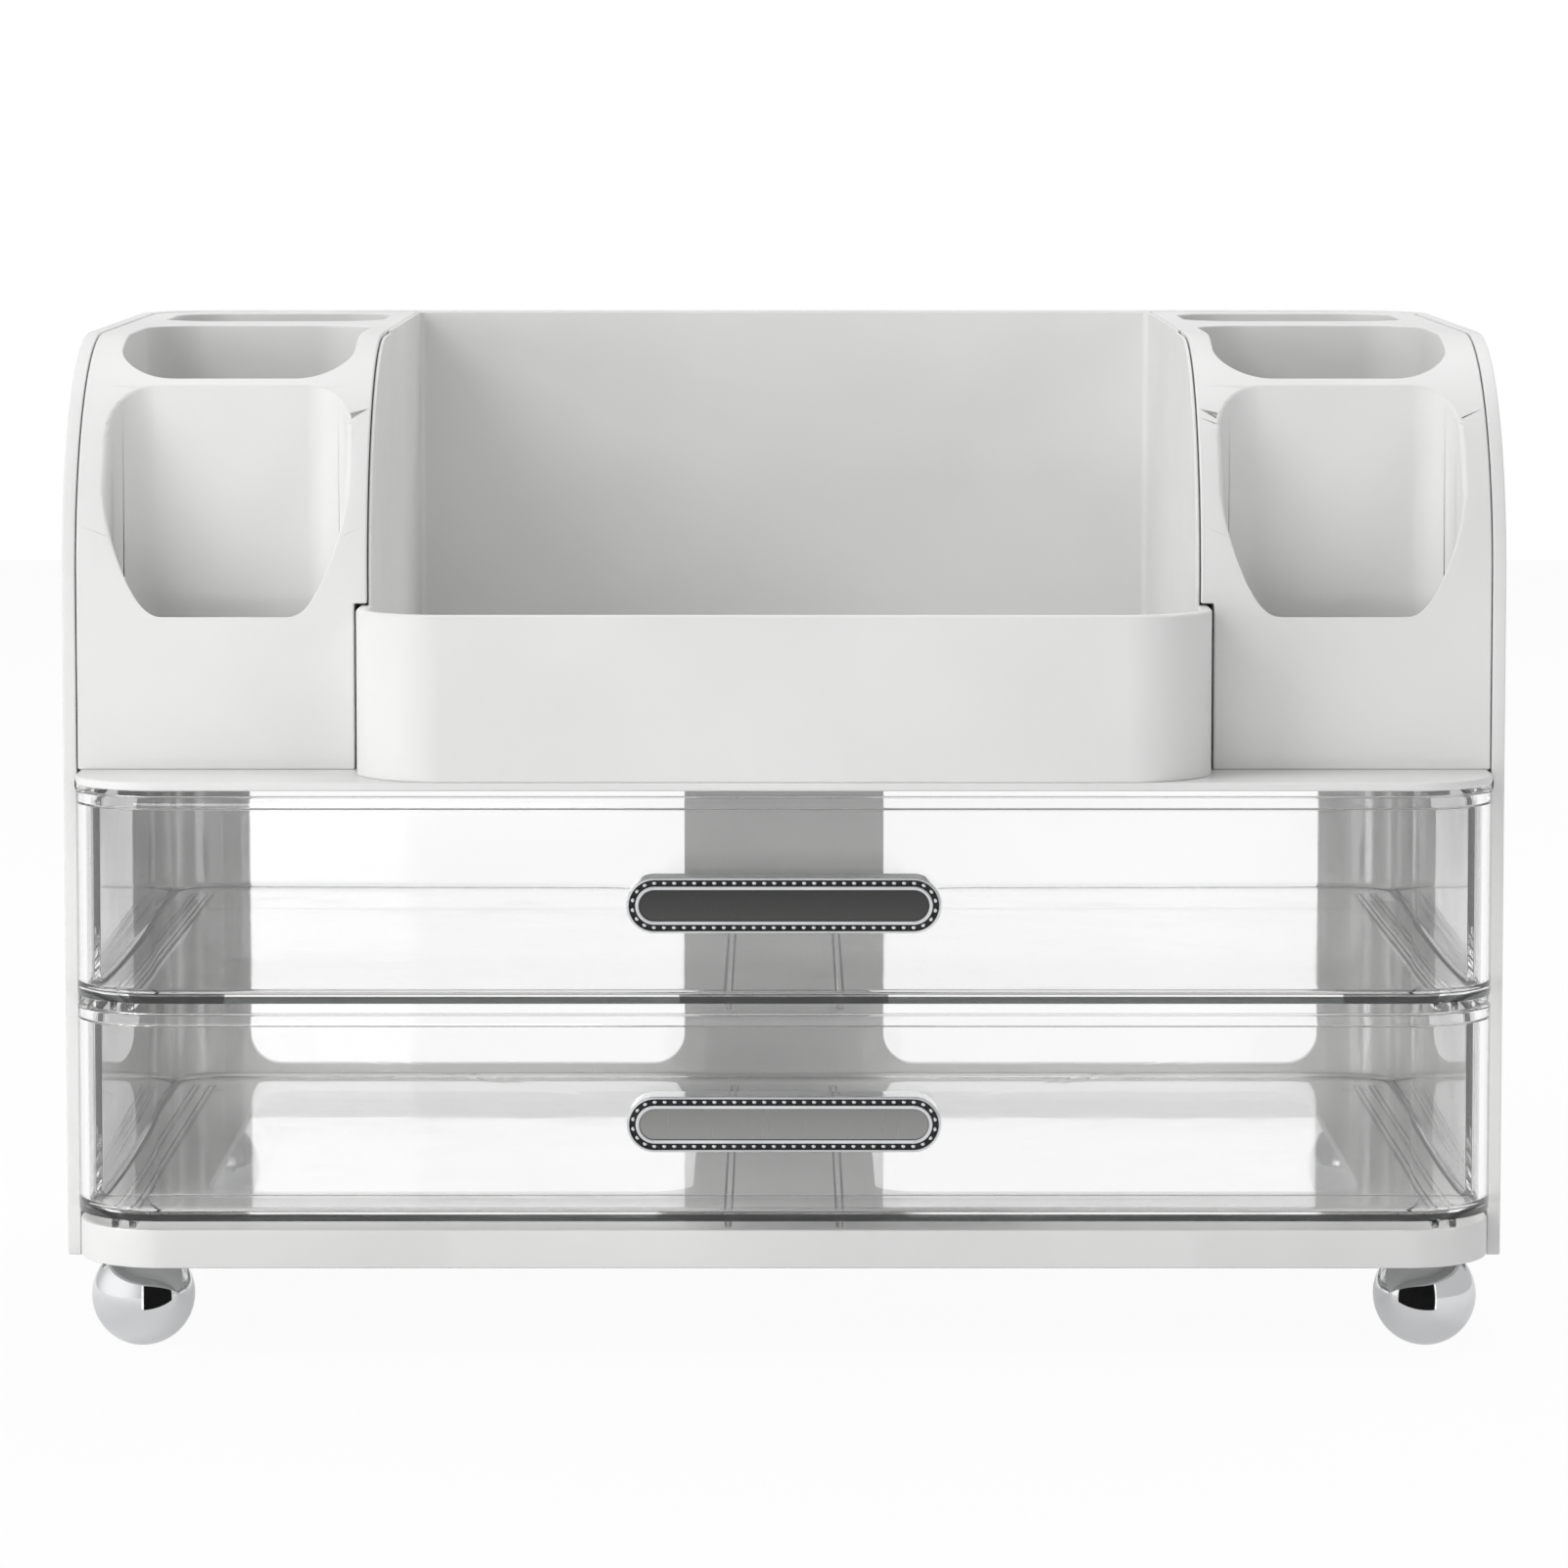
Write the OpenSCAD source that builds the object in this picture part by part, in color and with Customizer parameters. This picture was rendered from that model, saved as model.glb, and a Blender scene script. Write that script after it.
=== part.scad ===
// Desktop organiser: two clear drawers in a white cabinet, an open front tray and two brush holders.
// Origin at the middle of the footprint on the table, +X to the right, +Y to the back, +Z up, in mm.

/* [Cabinet] */
// Width over the two side panels
body_w = 330; // [310:1:350]
// Depth from the drawer fronts to the back of the shell
body_d = 210; // [204:1:225]
// Height of the back shell above the table
body_h = 232.8; // [229:0.1:240]
// Thickness of a side panel
panel_t = 3; // [2.4:0.1:3.6]
// Thickness of the wall of the back shell
shell_t = 2.8; // [2.2:0.1:3.4]
// Outside radius of the back corners, seen from above
shell_corner_r = 20; // [16:0.5:24]
// How far the panels stop behind the drawer fronts
shoulder_t = 27; // [26:0.5:30]
// Radius of the rounded shoulder of the side profile
crown_r = 56; // [48:1:60]
// Rise of the top edge from the shoulder to the back
crown_rise = 1.8; // [1:0.1:3]
// How far the panels reach below the base
panel_drop = 2.1; // [1:0.1:4]
// Length of the shell's side wings that lie inside the panels
wing_reach = 39; // [30:1:50]
// Thickness of a side wing
wing_t = 2.2; // [1.8:0.1:2.4]

/* [Back windows] */
// Width of the middle post between the windows
window_post_w = 52; // [40:1:70]
// Distance from a window to the side panel's inner face
window_side = 22.5; // [20:0.5:44]
// Height of one window
window_h = 84; // [60:1:86]
// Height of the window sill above the base plate
window_sill = 5.1; // [3:0.1:8]
// Corner radius of a window
window_r = 8; // [4:0.5:14]

/* [Base and shelf] */
// Height of the base plate with its skirt
base_h = 8.8; // [8:0.1:11]
// Thickness of the base's top plate
base_plate_t = 2.5; // [2.3:0.1:3.2]
// Thickness of the base's skirt
skirt_t = 2.4; // [1.8:0.1:3]
// Front corner radius of base, shelf and drawers
front_r = 20; // [16:0.5:23]
// Gap between the base and the cabinet walls
base_gap = 1.2; // [0.8:0.1:1.6]
// Gap between the shelf or a drawer front and the side panels
deck_gap = 0.8; // [0.5:0.1:1.2]
// Thickness of the shelf
shelf_t = 2; // [1.6:0.1:3]
// Gap between the upper drawer and the shelf
shelf_gap = 1.4; // [1:0.1:2.5]
// Width of the middle bar between the two cut-outs of the base
cutout_bar_w = 42.8; // [34:0.2:60]
// Distance from a cut-out to the base's side edge
cutout_side = 26.3; // [24:0.1:44]
// Distance from a cut-out to the base's back edge
cutout_back = 23; // [20:0.5:50]
// Distance from the base's front edge to a cut-out
cutout_front = 41; // [38:1:50]
// Corner radius of a cut-out
cutout_r = 10; // [5:0.5:16]

/* [Feet] */
// Radius of a ball foot
foot_r = 11.8; // [10:0.1:14]
// Depth of the flat on which a ball foot stands
foot_flat = 0.3; // [0.2:0.05:0.8]
// Radius of the seat on top of a ball foot
foot_seat_r = 4; // [3.6:0.1:5.5]
// Distance from the base's side edge to a foot's centre
foot_side = 13.4; // [11:0.1:16]
// Distance from the base's front and back edges to a foot
foot_inset = 25; // [22:0.5:30]
// Radius of the screw in a foot
foot_screw_r = 1.8; // [1.4:0.1:2]
// How deep a screw goes into its foot
foot_screw_depth = 8; // [5:0.5:9]

/* [Drawers] */
// Height of the upper drawer
upper_h = 46.7; // [40:0.1:54]
// Height of the lower drawer
lower_h = 47; // [40:0.1:54]
// Wall thickness of a drawer
drawer_wall = 2.2; // [1.6:0.1:2.6]
// Thickness of a drawer's floor
drawer_floor = 1.8; // [1.4:0.1:2.4]
// Gap between the back of a drawer and the back shell
drawer_back_gap = 12.2; // [6:0.2:24]
// How far the box of a drawer is narrower than its front, on each side
drawer_step = 2.2; // [1.9:0.1:2.6]
// Gap between the wide front part of a drawer and the panels' front edges
drawer_head_gap = 1.5; // [0.4:0.1:1.6]
// Outside radius of a drawer's back corners
drawer_back_r = 14; // [8:0.5:18]
// How far the side and back walls are lower than the front
side_drop = 3; // [2.8:0.1:6]
// Height of the rim along the top of a drawer's front
rim_h = 2.8; // [1.5:0.1:4]
// Extra thickness of that rim
rim_extra = 1.2; // [0.5:0.1:2]
// Height of the runner ribs under a drawer
rib_h = 1.6; // [1.2:0.1:2.2]
// Width of a runner rib
rib_w = 1.6; // [1.2:0.1:2.2]
// Distance of the middle ribs from the centre line
rib_mid_x = 12.6; // [8:0.2:16]
// Distance of the outer rib from the side of the drawer's box
rib_side = 8; // [5:0.1:9]
// Distance between the two ribs at a side
rib_pair_gap = 4; // [3.2:0.1:5]
// Gap between the lower drawer's top and the upper drawer's ribs
stack_gap = 0.9; // [0.6:0.1:1.5]

/* [Drawer rails] */
// Width of the ledge that carries the upper drawer
rail_w = 12.7; // [11:0.1:14]
// Thickness of the ledge
rail_t = 2; // [1.6:0.1:2.4]
// Height of the web on the side panel
rail_web_h = 14; // [8:0.5:20]
// Thickness of the web
rail_web_t = 1.8; // [1.4:0.1:2]
// How far the ledge starts behind the edge of the panel
rail_inset = 3; // [2:0.5:8]

/* [Handles] */
// Length of a handle
handle_w = 70.4; // [60:0.2:90]
// Height of a handle
handle_h = 12.5; // [11.6:0.1:16]
// How far a handle stands out from the drawer
handle_reach = 8; // [7.8:0.1:12]
// Distance of the row of beads from the handle's edge
bead_inset = 1.15; // [1:0.05:1.6]
// Width of the groove that holds the beads
bead_groove_w = 1.5; // [1.4:0.02:1.7]
// Depth of that groove
bead_groove_d = 0.8; // [0.5:0.1:1.2]
// Radius of a bead
bead_r = 0.66; // [0.5:0.02:0.68]
// Number of beads round a handle
bead_count = 66; // [40:1:70]
// Width of the inner rim between the groove and the insert
inner_rim_w = 0.85; // [0.5:0.05:1.1]
// Depth of the pocket that holds the insert
insert_pocket = 1.4; // [1.2:0.1:1.6]
// Thickness of the insert
insert_t = 1; // [0.8:0.1:1.1]
// Distance between the two screws of a handle
handle_screw_span = 48; // [36:1:52]
// Radius of a handle screw
handle_screw_r = 1.5; // [1.2:0.1:2]
// How deep a handle screw goes into the handle
handle_screw_depth = 6; // [4:0.5:6]

/* [Front tray] */
// Width of the tray below its lip
tray_w = 194.4; // [180:0.2:200]
// Height of the tray's front lip above the shelf
tray_lip_h = 37.6; // [28:0.2:46]
// Thickness of the tray's front wall
tray_wall = 2.5; // [2:0.1:3.2]
// Thickness of the tray's floor
tray_floor = 2.2; // [1.6:0.1:3]
// Thickness of the tall side walls above the lip
tray_side_t = 0.8; // [0.8:0.1:1.4]
// How far the tall walls stand in from the lower ones
tray_step = 2.2; // [1.8:0.1:3]
// Depth of the notch that drops the tall wall's edge behind the shoulder
tray_notch = 0.8; // [0.5:0.1:1.5]
// Distance of that notch's end behind the panel's front edge
tray_notch_end = 71; // [64:1:90]

/* [Brush holders] */
// Thickness of the wall on the panel's side of a well
well_outer_wall = 5.25; // [3:0.25:9]
// Thickness of the wall on the tray's side of a well
well_inner_wall = 2.8; // [2.4:0.1:4]
// Corner radius of the wells
well_r = 13; // [8:0.5:14]
// Radius of the front well's back corners
well_back_r = 10; // [6:0.5:12]
// Height of the front well's lip above the shelf
lip_z = 35.9; // [30:0.1:40]
// Slope of the front well's front wall
well_slope = 17; // [12:1:20]
// Depth of the front well at its mouth
front_well_d = 22.3; // [19:0.1:25]
// Thickness of the divider behind the front well
divider_t = 2.5; // [2:0.1:3.5]
// Depth of the middle well
middle_well_d = 73; // [60:1:75]
// Depth of the back well
back_well_d = 49; // [35:1:51]
// Distance from the back of the cabinet to the back well
back_well_inset = 13; // [11:0.5:16]
// Thickness of the floor of the wells
well_floor = 2.6; // [2:0.1:4]

/* [Hidden] */
$fn = 96;

// Clearances and the overrun of cuts
over = 1;
run_gap = 0.3;
seat_gap = 0.25;
fit_gap = 0.05;
hole_gap = 0.2;
skirt_overlap = 0.5;

// Sides seen from the front
left = -1;
right = 1;

// Plan: distances along the depth are counted from the drawer fronts
front_y = handle_reach - (body_d + handle_reach) / 2;
panel_in_x = body_w / 2 - panel_t;
deck_x = panel_in_x - deck_gap;
base_x = panel_in_x - base_gap;
shell_in_d = body_d - shell_t;
base_back_d = shell_in_d - base_gap;
shell_start_d = body_d - shell_corner_r;
wing_front_d = shell_start_d - wing_reach;
wing_in_x = panel_in_x - wing_t;
shell_in_r = shell_corner_r - panel_t;

// Heights above the table
foot_z = foot_r - foot_flat;
foot_top = foot_z + sqrt(pow(foot_r, 2) - pow(foot_seat_r, 2));
base_bottom = foot_top - skirt_overlap;
base_top = base_bottom + base_h;
lower_z = base_top + run_gap + rib_h;
upper_z = lower_z + lower_h + stack_gap + rib_h;
rail_top = upper_z - rib_h - run_gap;
shelf_bottom = upper_z + upper_h + shelf_gap;
shelf_top = shelf_bottom + shelf_t;
panel_bottom = base_bottom - panel_drop;
crown_z = body_h - crown_rise;
crown_centre_d = shoulder_t + crown_r;

// Ledge of a side panel that carries the shelf
ledge_w = 6;
ledge_t = 2.5;

// Pads and pegs that hold the walls to the base
pad_r = 3.6;
peg_r = 2;
peg_tip = 1;
peg_z = base_bottom + base_h / 2;
panel_peg_ds = [shoulder_t + foot_inset, shell_start_d - foot_inset];
window_x0 = window_post_w / 2;
window_x1 = panel_in_x - window_side;
shell_peg_x = (window_x0 + window_x1) / 2;

// Screws that hold the ball feet
foot_head_r = 3.2;
foot_head_h = 1.8;
foot_boss_r = 6.5;
foot_x = base_x - foot_side;
foot_ds = [foot_inset, body_d - foot_inset];

// Drawers
box_x = deck_x - drawer_step;
drawer_len = shell_in_d - drawer_back_gap;
drawer_head_len = shoulder_t - drawer_head_gap;
drawer_in_r = front_r - drawer_wall;
rib_start = 1;
rib_end = drawer_len - drawer_back_r;
rib_outer_x = box_x - rib_side;
handle_head_r = 2.8;
handle_head_h = 1.6;

// Front tray and brush holders
tray_in_x = tray_w / 2 - tray_step - tray_side_t;
tray_tall_x = tray_w / 2 - tray_step;
tray_back_d = shell_in_d - run_gap;
tray_in_back_d = tray_back_d - tray_wall;
tray_in_r = front_r - tray_wall;
tray_corner_r = 2;
lip_top = shelf_top + tray_lip_h;
holder_low_x = tray_w / 2 + 2 * seat_gap;
holder_high_x = tray_tall_x + run_gap;
holder_out_x = panel_in_x - seat_gap;
holder_back_r = shell_in_r - seat_gap;
holder_front_d = shoulder_t + seat_gap;
holder_step_z = lip_top + 2 * seat_gap;
well_x = holder_low_x + well_inner_wall;
well_w = holder_out_x - well_outer_wall - well_x;
well_z = shelf_top + well_floor;
front_well_end = shoulder_t + front_well_d;
middle_well_start = front_well_end + divider_t;
middle_well_end = middle_well_start + middle_well_d;
back_well_end = body_d - back_well_inset;
back_well_start = back_well_end - back_well_d;
core_top_z = crown_z - panel_t - divider_t;

// A plan outline with rounded front and back corners; a radius of 0 leaves them square
module plan(x0, x1, d0, d1, rf, rb) {
  intersection() {
    translate([x0, d0]) square([x1 - x0, d1 - d0]);
    union() {
      translate([x0, d0 + rf]) square([x1 - x0, d1 - d0 - rf - rb]);
      if (rf > 0) {
        translate([x0 + rf, d0]) square([x1 - x0 - 2 * rf, 2 * rf]);
        translate([x0 + rf, d0 + rf]) circle(r = rf);
        translate([x1 - rf, d0 + rf]) circle(r = rf);
      }
      if (rb > 0) {
        translate([x0 + rb, d1 - 2 * rb]) square([x1 - x0 - 2 * rb, 2 * rb]);
        translate([x0 + rb, d1 - rb]) circle(r = rb);
        translate([x1 - rb, d1 - rb]) circle(r = rb);
      }
    }
  }
}

// A plan outline raised from one height to another
module raised(z0, z1) {
  translate([0, front_y, z0]) linear_extrude(z1 - z0) children();
}

// The side profile of the cabinet, set in evenly, from a lowest height up
module profile(inset, start_d, end_d, z0) {
  rise_share = (end_d - crown_centre_d) / (body_d - crown_centre_d);
  top = crown_z - inset;
  shoulder_z = crown_z - crown_r;
  intersection() {
    union() {
      polygon([
        [shoulder_t + inset, z0],
        [end_d, z0],
        [end_d, top + crown_rise * rise_share],
        [crown_centre_d, top],
        [crown_centre_d, shoulder_z],
        [shoulder_t + inset, shoulder_z]
      ]);
      translate([crown_centre_d, shoulder_z]) circle(r = crown_r - inset);
    }
    translate([start_d, z0]) square([end_d - start_d, body_h]);
  }
}

// The side profile as a slab between two places along the width
module profile_slab(x0, x1, inset, start_d, end_d, z0) {
  translate([x0, front_y, 0]) rotate([90, 0, 90]) linear_extrude(x1 - x0)
    profile(inset, start_d, end_d, z0);
}

// A round bar along the width or the depth, from one end to the other
module bar_x(x0, x1, d, z, r) {
  translate([x0, front_y + d, z]) rotate([0, 90, 0]) cylinder(r = r, h = x1 - x0);
}

module bar_y(d0, d1, x, z, r) {
  translate([x, front_y + d0, z]) rotate([-90, 0, 0]) cylinder(r = r, h = d1 - d0);
}

// A box from its two corners, with its depth counted from the drawer fronts
module block(x0, x1, d0, d1, z0, z1) {
  translate([x0, front_y + d0, z0]) cube([x1 - x0, d1 - d0, z1 - z0]);
}

// A piece made for the right side, put on the side that is asked for
module on_side(side) {
  if (side == left) {
    mirror([1, 0, 0]) children();
  } else {
    children();
  }
}

module base_plate() {
  plate_under = base_top - base_plate_t;
  back_r = shell_in_r - base_gap;
  color("whitesmoke") difference() {
    union() {
      difference() {
        raised(base_bottom, base_top) plan(-base_x, base_x, 0, base_back_d, front_r, back_r);
        raised(base_bottom - over, plate_under)
          plan(skirt_t - base_x, base_x - skirt_t, skirt_t, base_back_d - skirt_t,
               front_r - skirt_t, back_r - skirt_t);
      }
      for (side = [left, right], d = foot_ds)
        translate([side * foot_x, front_y + d, foot_top])
          cylinder(r = foot_boss_r, h = plate_under - foot_top + over);
    }
    for (side = [left, right]) {
      on_side(side) raised(plate_under - over, base_top + over)
        plan(cutout_bar_w / 2, base_x - cutout_side, cutout_front, base_back_d - cutout_back,
             cutout_r, cutout_r);
      for (d = panel_peg_ds)
        on_side(side) bar_x(base_x - skirt_t - over, base_x + over, d, peg_z, peg_r + fit_gap);
      bar_y(base_back_d - skirt_t - over, base_back_d + over, side * shell_peg_x, peg_z,
            peg_r + fit_gap);
      for (d = foot_ds) translate([side * foot_x, front_y + d, 0]) {
        translate([0, 0, foot_top - over])
          cylinder(r = foot_screw_r + hole_gap, h = base_h + 2 * over);
        translate([0, 0, base_top - foot_head_h - run_gap])
          cylinder(r = foot_head_r + run_gap, h = foot_head_h + over);
      }
    }
  }
}

module side_panel(side) {
  color("white") on_side(side) {
    profile_slab(panel_in_x, body_w / 2, 0, shoulder_t, shell_start_d - seat_gap, panel_bottom);
    block(panel_in_x - ledge_w, panel_in_x + fit_gap, shoulder_t, wing_front_d - run_gap,
          shelf_bottom - ledge_t, shelf_bottom);
    for (d = panel_peg_ds) {
      bar_x(base_x, panel_in_x + fit_gap, d, peg_z, pad_r);
      bar_x(base_x - skirt_t - peg_tip, panel_in_x + fit_gap, d, peg_z, peg_r);
    }
  }
}

module back_shell() {
  in_x = panel_in_x;
  window_z = base_top + window_sill;
  color("gainsboro") difference() {
    union() {
      intersection() {
        difference() {
          raised(panel_bottom, body_h)
            plan(-body_w / 2, body_w / 2, shell_start_d - shell_corner_r, body_d, 0, shell_corner_r);
          raised(panel_bottom - over, body_h + over)
            plan(-in_x, in_x, shell_start_d - shell_corner_r - over, shell_in_d, 0, shell_in_r);
          block(-body_w, body_w, 0, shell_start_d, panel_bottom - over, body_h + over);
        }
        profile_slab(-body_w / 2, body_w / 2, 0, shoulder_t, body_d, panel_bottom);
      }
      for (side = [left, right]) {
        on_side(side) block(wing_in_x, in_x, wing_front_d, shell_start_d + wing_t + panel_t,
                            base_top + run_gap, shelf_bottom);
        bar_y(base_back_d, shell_in_d + fit_gap, side * shell_peg_x, peg_z, pad_r);
        bar_y(base_back_d - skirt_t - peg_tip, shell_in_d + fit_gap, side * shell_peg_x, peg_z,
              peg_r);
      }
    }
    for (side = [left, right])
      on_side(side) translate([0, front_y + body_d + over, window_z]) rotate([90, 0, 0])
        linear_extrude(shell_t + 2 * over)
          plan(window_x0, window_x1, 0, window_h, window_r, window_r);
  }
}

module shelf_plate() {
  color("white") raised(shelf_bottom, shelf_top)
    plan(-deck_x, deck_x, 0, shell_in_d - deck_gap, front_r, shell_in_r - deck_gap);
}

module drawer_rail(side) {
  start = shoulder_t + rail_inset;
  middle = wing_front_d - run_gap;
  ledge_x = panel_in_x - rail_w;
  color("whitesmoke") on_side(side) {
    block(ledge_x, panel_in_x, start, middle, rail_top - rail_t, rail_top);
    block(ledge_x, wing_in_x - run_gap, middle, rib_end, rail_top - rail_t, rail_top);
    block(panel_in_x - rail_web_t, panel_in_x, start, middle, rail_top - rail_web_h, rail_top);
  }
}

module brush_holder(side) {
  color("white") on_side(side) difference() {
    intersection() {
      profile_slab(holder_high_x, holder_out_x, seat_gap, holder_front_d, tray_back_d, shelf_top);
      raised(shelf_top, body_h)
        plan(holder_high_x - holder_back_r, holder_out_x, holder_front_d - holder_back_r, tray_back_d,
             0, holder_back_r);
    }
    block(holder_high_x - over, holder_low_x, 0, body_d, shelf_top - over, holder_step_z);
    front_well();
    raised(well_z, body_h + over) {
      plan(well_x, well_x + well_w, middle_well_start, middle_well_end, well_r, well_r);
      plan(well_x, well_x + well_w, back_well_start, back_well_end, well_r, well_r);
    }
    raised(shelf_top - over, core_top_z)
      plan(well_x, well_x + well_w, middle_well_end + divider_t, back_well_start - divider_t, 0, 0);
  }
}

// The front well: a sloping front wall, met by upright side and back walls
module front_well() {
  intersection() {
    raised(well_z, body_h + over)
      plan(well_x, well_x + well_w, -front_well_d, front_well_end, 0, well_back_r);
    translate([0, front_y + holder_front_d, shelf_top + lip_z]) rotate([well_slope, 0, 0])
      translate([0, 0, -body_h]) linear_extrude(2 * body_h)
        plan(well_x, well_x + well_w, 0, body_d, well_r, 0);
  }
}

module front_tray() {
  notch_d = shoulder_t + tray_notch_end;
  color("white") difference() {
    union() {
      raised(shelf_top, lip_top)
        plan(-tray_w / 2, tray_w / 2, 0, tray_back_d, front_r, tray_corner_r);
      profile_slab(-tray_tall_x, tray_tall_x, seat_gap + tray_notch, shoulder_t + run_gap, tray_back_d,
                   shelf_top);
      profile_slab(-tray_tall_x, tray_tall_x, seat_gap, notch_d, tray_back_d, shelf_top);
    }
    raised(shelf_top + tray_floor, body_h + over)
      plan(-tray_in_x, tray_in_x, tray_wall, tray_in_back_d, tray_in_r, tray_corner_r);
  }
}

// A drawer with its front on the drawer plane, standing on its floor at height z
module drawer(z, h) {
  side_top = z + h - side_drop;
  inner_x = deck_x - drawer_wall;
  color("lightcyan", 0.45) difference() {
    union() {
      difference() {
        union() {
          raised(z, z + h) plan(-deck_x, deck_x, 0, drawer_head_len, front_r, 0);
          raised(z, side_top)
            plan(-box_x, box_x, front_r, drawer_len, 0, drawer_back_r);
        }
        raised(z + drawer_floor, z + h - rim_h)
          plan(-inner_x, inner_x, drawer_wall, drawer_head_len - drawer_wall, drawer_in_r, 0);
        raised(z + h - rim_h - fit_gap, z + h + over)
          plan(rim_extra - inner_x, inner_x - rim_extra, drawer_wall + rim_extra,
               drawer_head_len + over, drawer_in_r - rim_extra, 0);
        raised(z + drawer_floor, z + h + over)
          plan(drawer_wall - box_x, box_x - drawer_wall, front_r, drawer_len - drawer_wall, 0,
               drawer_back_r - drawer_wall);
      }
      for (x = [rib_mid_x, rib_outer_x - rib_pair_gap, rib_outer_x], side = [left, right])
        block(side * x - rib_w / 2, side * x + rib_w / 2, rib_start, rib_end, z - rib_h,
              z + fit_gap);
    }
    for (side = [left, right])
      bar_y(-over, drawer_wall + over, side * handle_screw_span / 2, z + h / 2,
            handle_screw_r + hole_gap);
  }
}

// A stadium outline, its length and height given
module stadium(w, h) {
  square([w - h, h], center = true);
  translate([(h - w) / 2, 0]) circle(d = h);
  translate([(w - h) / 2, 0]) circle(d = h);
}

// A stadium block on a drawer front, from a height in front of it to another, centred at z
module stadium_block(w, h, z, reach0, reach1) {
  translate([0, front_y - reach0, z]) rotate([90, 0, 0]) linear_extrude(reach1 - reach0)
    stadium(w, h);
}

// A point at a share of the way round a stadium path, counted from the top left
function stadium_point(w, h, share) =
  let (
    run = w - h,
    bend = PI * h / 2,
    s = share * 2 * (run + bend)
  )
  s < run ? [s - run / 2, h / 2]
  : s < run + bend ? let (a = 90 - (s - run) / bend * 180) [run / 2 + cos(a) * h / 2, sin(a) * h / 2]
  : s < 2 * run + bend ? [run / 2 - (s - run - bend), -h / 2]
  : let (a = 270 - (s - 2 * run - bend) / bend * 180) [-run / 2 + cos(a) * h / 2, sin(a) * h / 2];

module handle_bezel(z) {
  row_w = handle_w - 2 * bead_inset;
  row_h = handle_h - 2 * bead_inset;
  rim_in = bead_inset + bead_groove_w / 2 + inner_rim_w;
  groove_top = handle_reach - bead_groove_d;
  color("silver") difference() {
    union() {
      difference() {
        stadium_block(handle_w, handle_h, z, 0, handle_reach);
        stadium_block(row_w + bead_groove_w, row_h + bead_groove_w, z, groove_top,
                      handle_reach + over);
      }
      stadium_block(row_w - bead_groove_w, row_h - bead_groove_w, z, groove_top - fit_gap,
                    handle_reach);
      for (i = [0 : bead_count - 1]) {
        p = stadium_point(row_w, row_h, i / bead_count);
        translate([p[0], front_y - groove_top, z + p[1]]) sphere(r = bead_r);
      }
    }
    stadium_block(handle_w - 2 * rim_in, handle_h - 2 * rim_in, z, handle_reach - insert_pocket,
                  handle_reach + over);
    for (side = [left, right])
      bar_y(-handle_screw_depth - fit_gap, over, side * handle_screw_span / 2, z,
            handle_screw_r + fit_gap);
  }
}

module handle_insert(z) {
  rim_in = bead_inset + bead_groove_w / 2 + inner_rim_w + fit_gap;
  pocket = handle_reach - insert_pocket;
  color("dimgray")
    stadium_block(handle_w - 2 * rim_in, handle_h - 2 * rim_in, z, pocket, pocket + insert_t);
}

module handle_screws(z) {
  color("silver") for (side = [left, right]) {
    bar_y(-handle_screw_depth, drawer_wall + fit_gap, side * handle_screw_span / 2, z,
          handle_screw_r);
    bar_y(drawer_wall, drawer_wall + handle_head_h, side * handle_screw_span / 2, z, handle_head_r);
  }
}

module foot(side, d) {
  color("gainsboro") translate([side * foot_x, front_y + d, 0]) difference() {
    translate([0, 0, foot_z]) sphere(r = foot_r);
    translate([-foot_r, -foot_r, -2 * foot_r]) cube(2 * foot_r);
    translate([-foot_r, -foot_r, foot_top]) cube(2 * foot_r);
    translate([0, 0, foot_top - foot_screw_depth - fit_gap])
      cylinder(r = foot_screw_r + fit_gap, h = foot_screw_depth + over);
  }
}

module foot_screws() {
  head_z = base_top - foot_head_h - run_gap;
  tip_z = foot_top - foot_screw_depth;
  color("silver") for (side = [left, right], d = foot_ds)
    translate([side * foot_x, front_y + d, 0]) {
      translate([0, 0, tip_z]) cylinder(r = foot_screw_r, h = head_z - tip_z + fit_gap);
      translate([0, 0, head_z]) cylinder(r = foot_head_r, h = foot_head_h);
    }
}

upper_handle_z = upper_z + upper_h / 2;
lower_handle_z = lower_z + lower_h / 2;

base_plate();
side_panel(left);  // side_panel_left
side_panel(right);  // side_panel_right
back_shell();
shelf_plate();
drawer_rail(left);  // drawer_rail_left
drawer_rail(right);  // drawer_rail_right
brush_holder(left);  // brush_holder_left
brush_holder(right);  // brush_holder_right
front_tray();
drawer(upper_z, upper_h);  // drawer_upper
drawer(lower_z, lower_h);  // drawer_lower
handle_bezel(upper_handle_z);  // handle_bezel_upper
handle_bezel(lower_handle_z);  // handle_bezel_lower
handle_insert(upper_handle_z);  // handle_insert_upper
handle_insert(lower_handle_z);  // handle_insert_lower
handle_screws(upper_handle_z);  // handle_screws_upper
handle_screws(lower_handle_z);  // handle_screws_lower
foot(left, foot_ds[0]);  // foot_front_left
foot(right, foot_ds[0]);  // foot_front_right
foot(left, foot_ds[1]);  // foot_back_left
foot(right, foot_ds[1]);  // foot_back_right
foot_screws();
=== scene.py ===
"""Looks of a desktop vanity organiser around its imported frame.

Two clear drawers slide in a white cabinet on ball feet, under an open tray and two brush holders.
Sizes are in millimetres, as on the drawing, and become metres where a mesh is made. X runs to the
right, Y to the back and Z up.
"""

import logging
import math
from contextlib import contextmanager
from dataclasses import dataclass
from enum import Enum
from typing import Any, Callable, ClassVar, Iterable, Iterator

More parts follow.
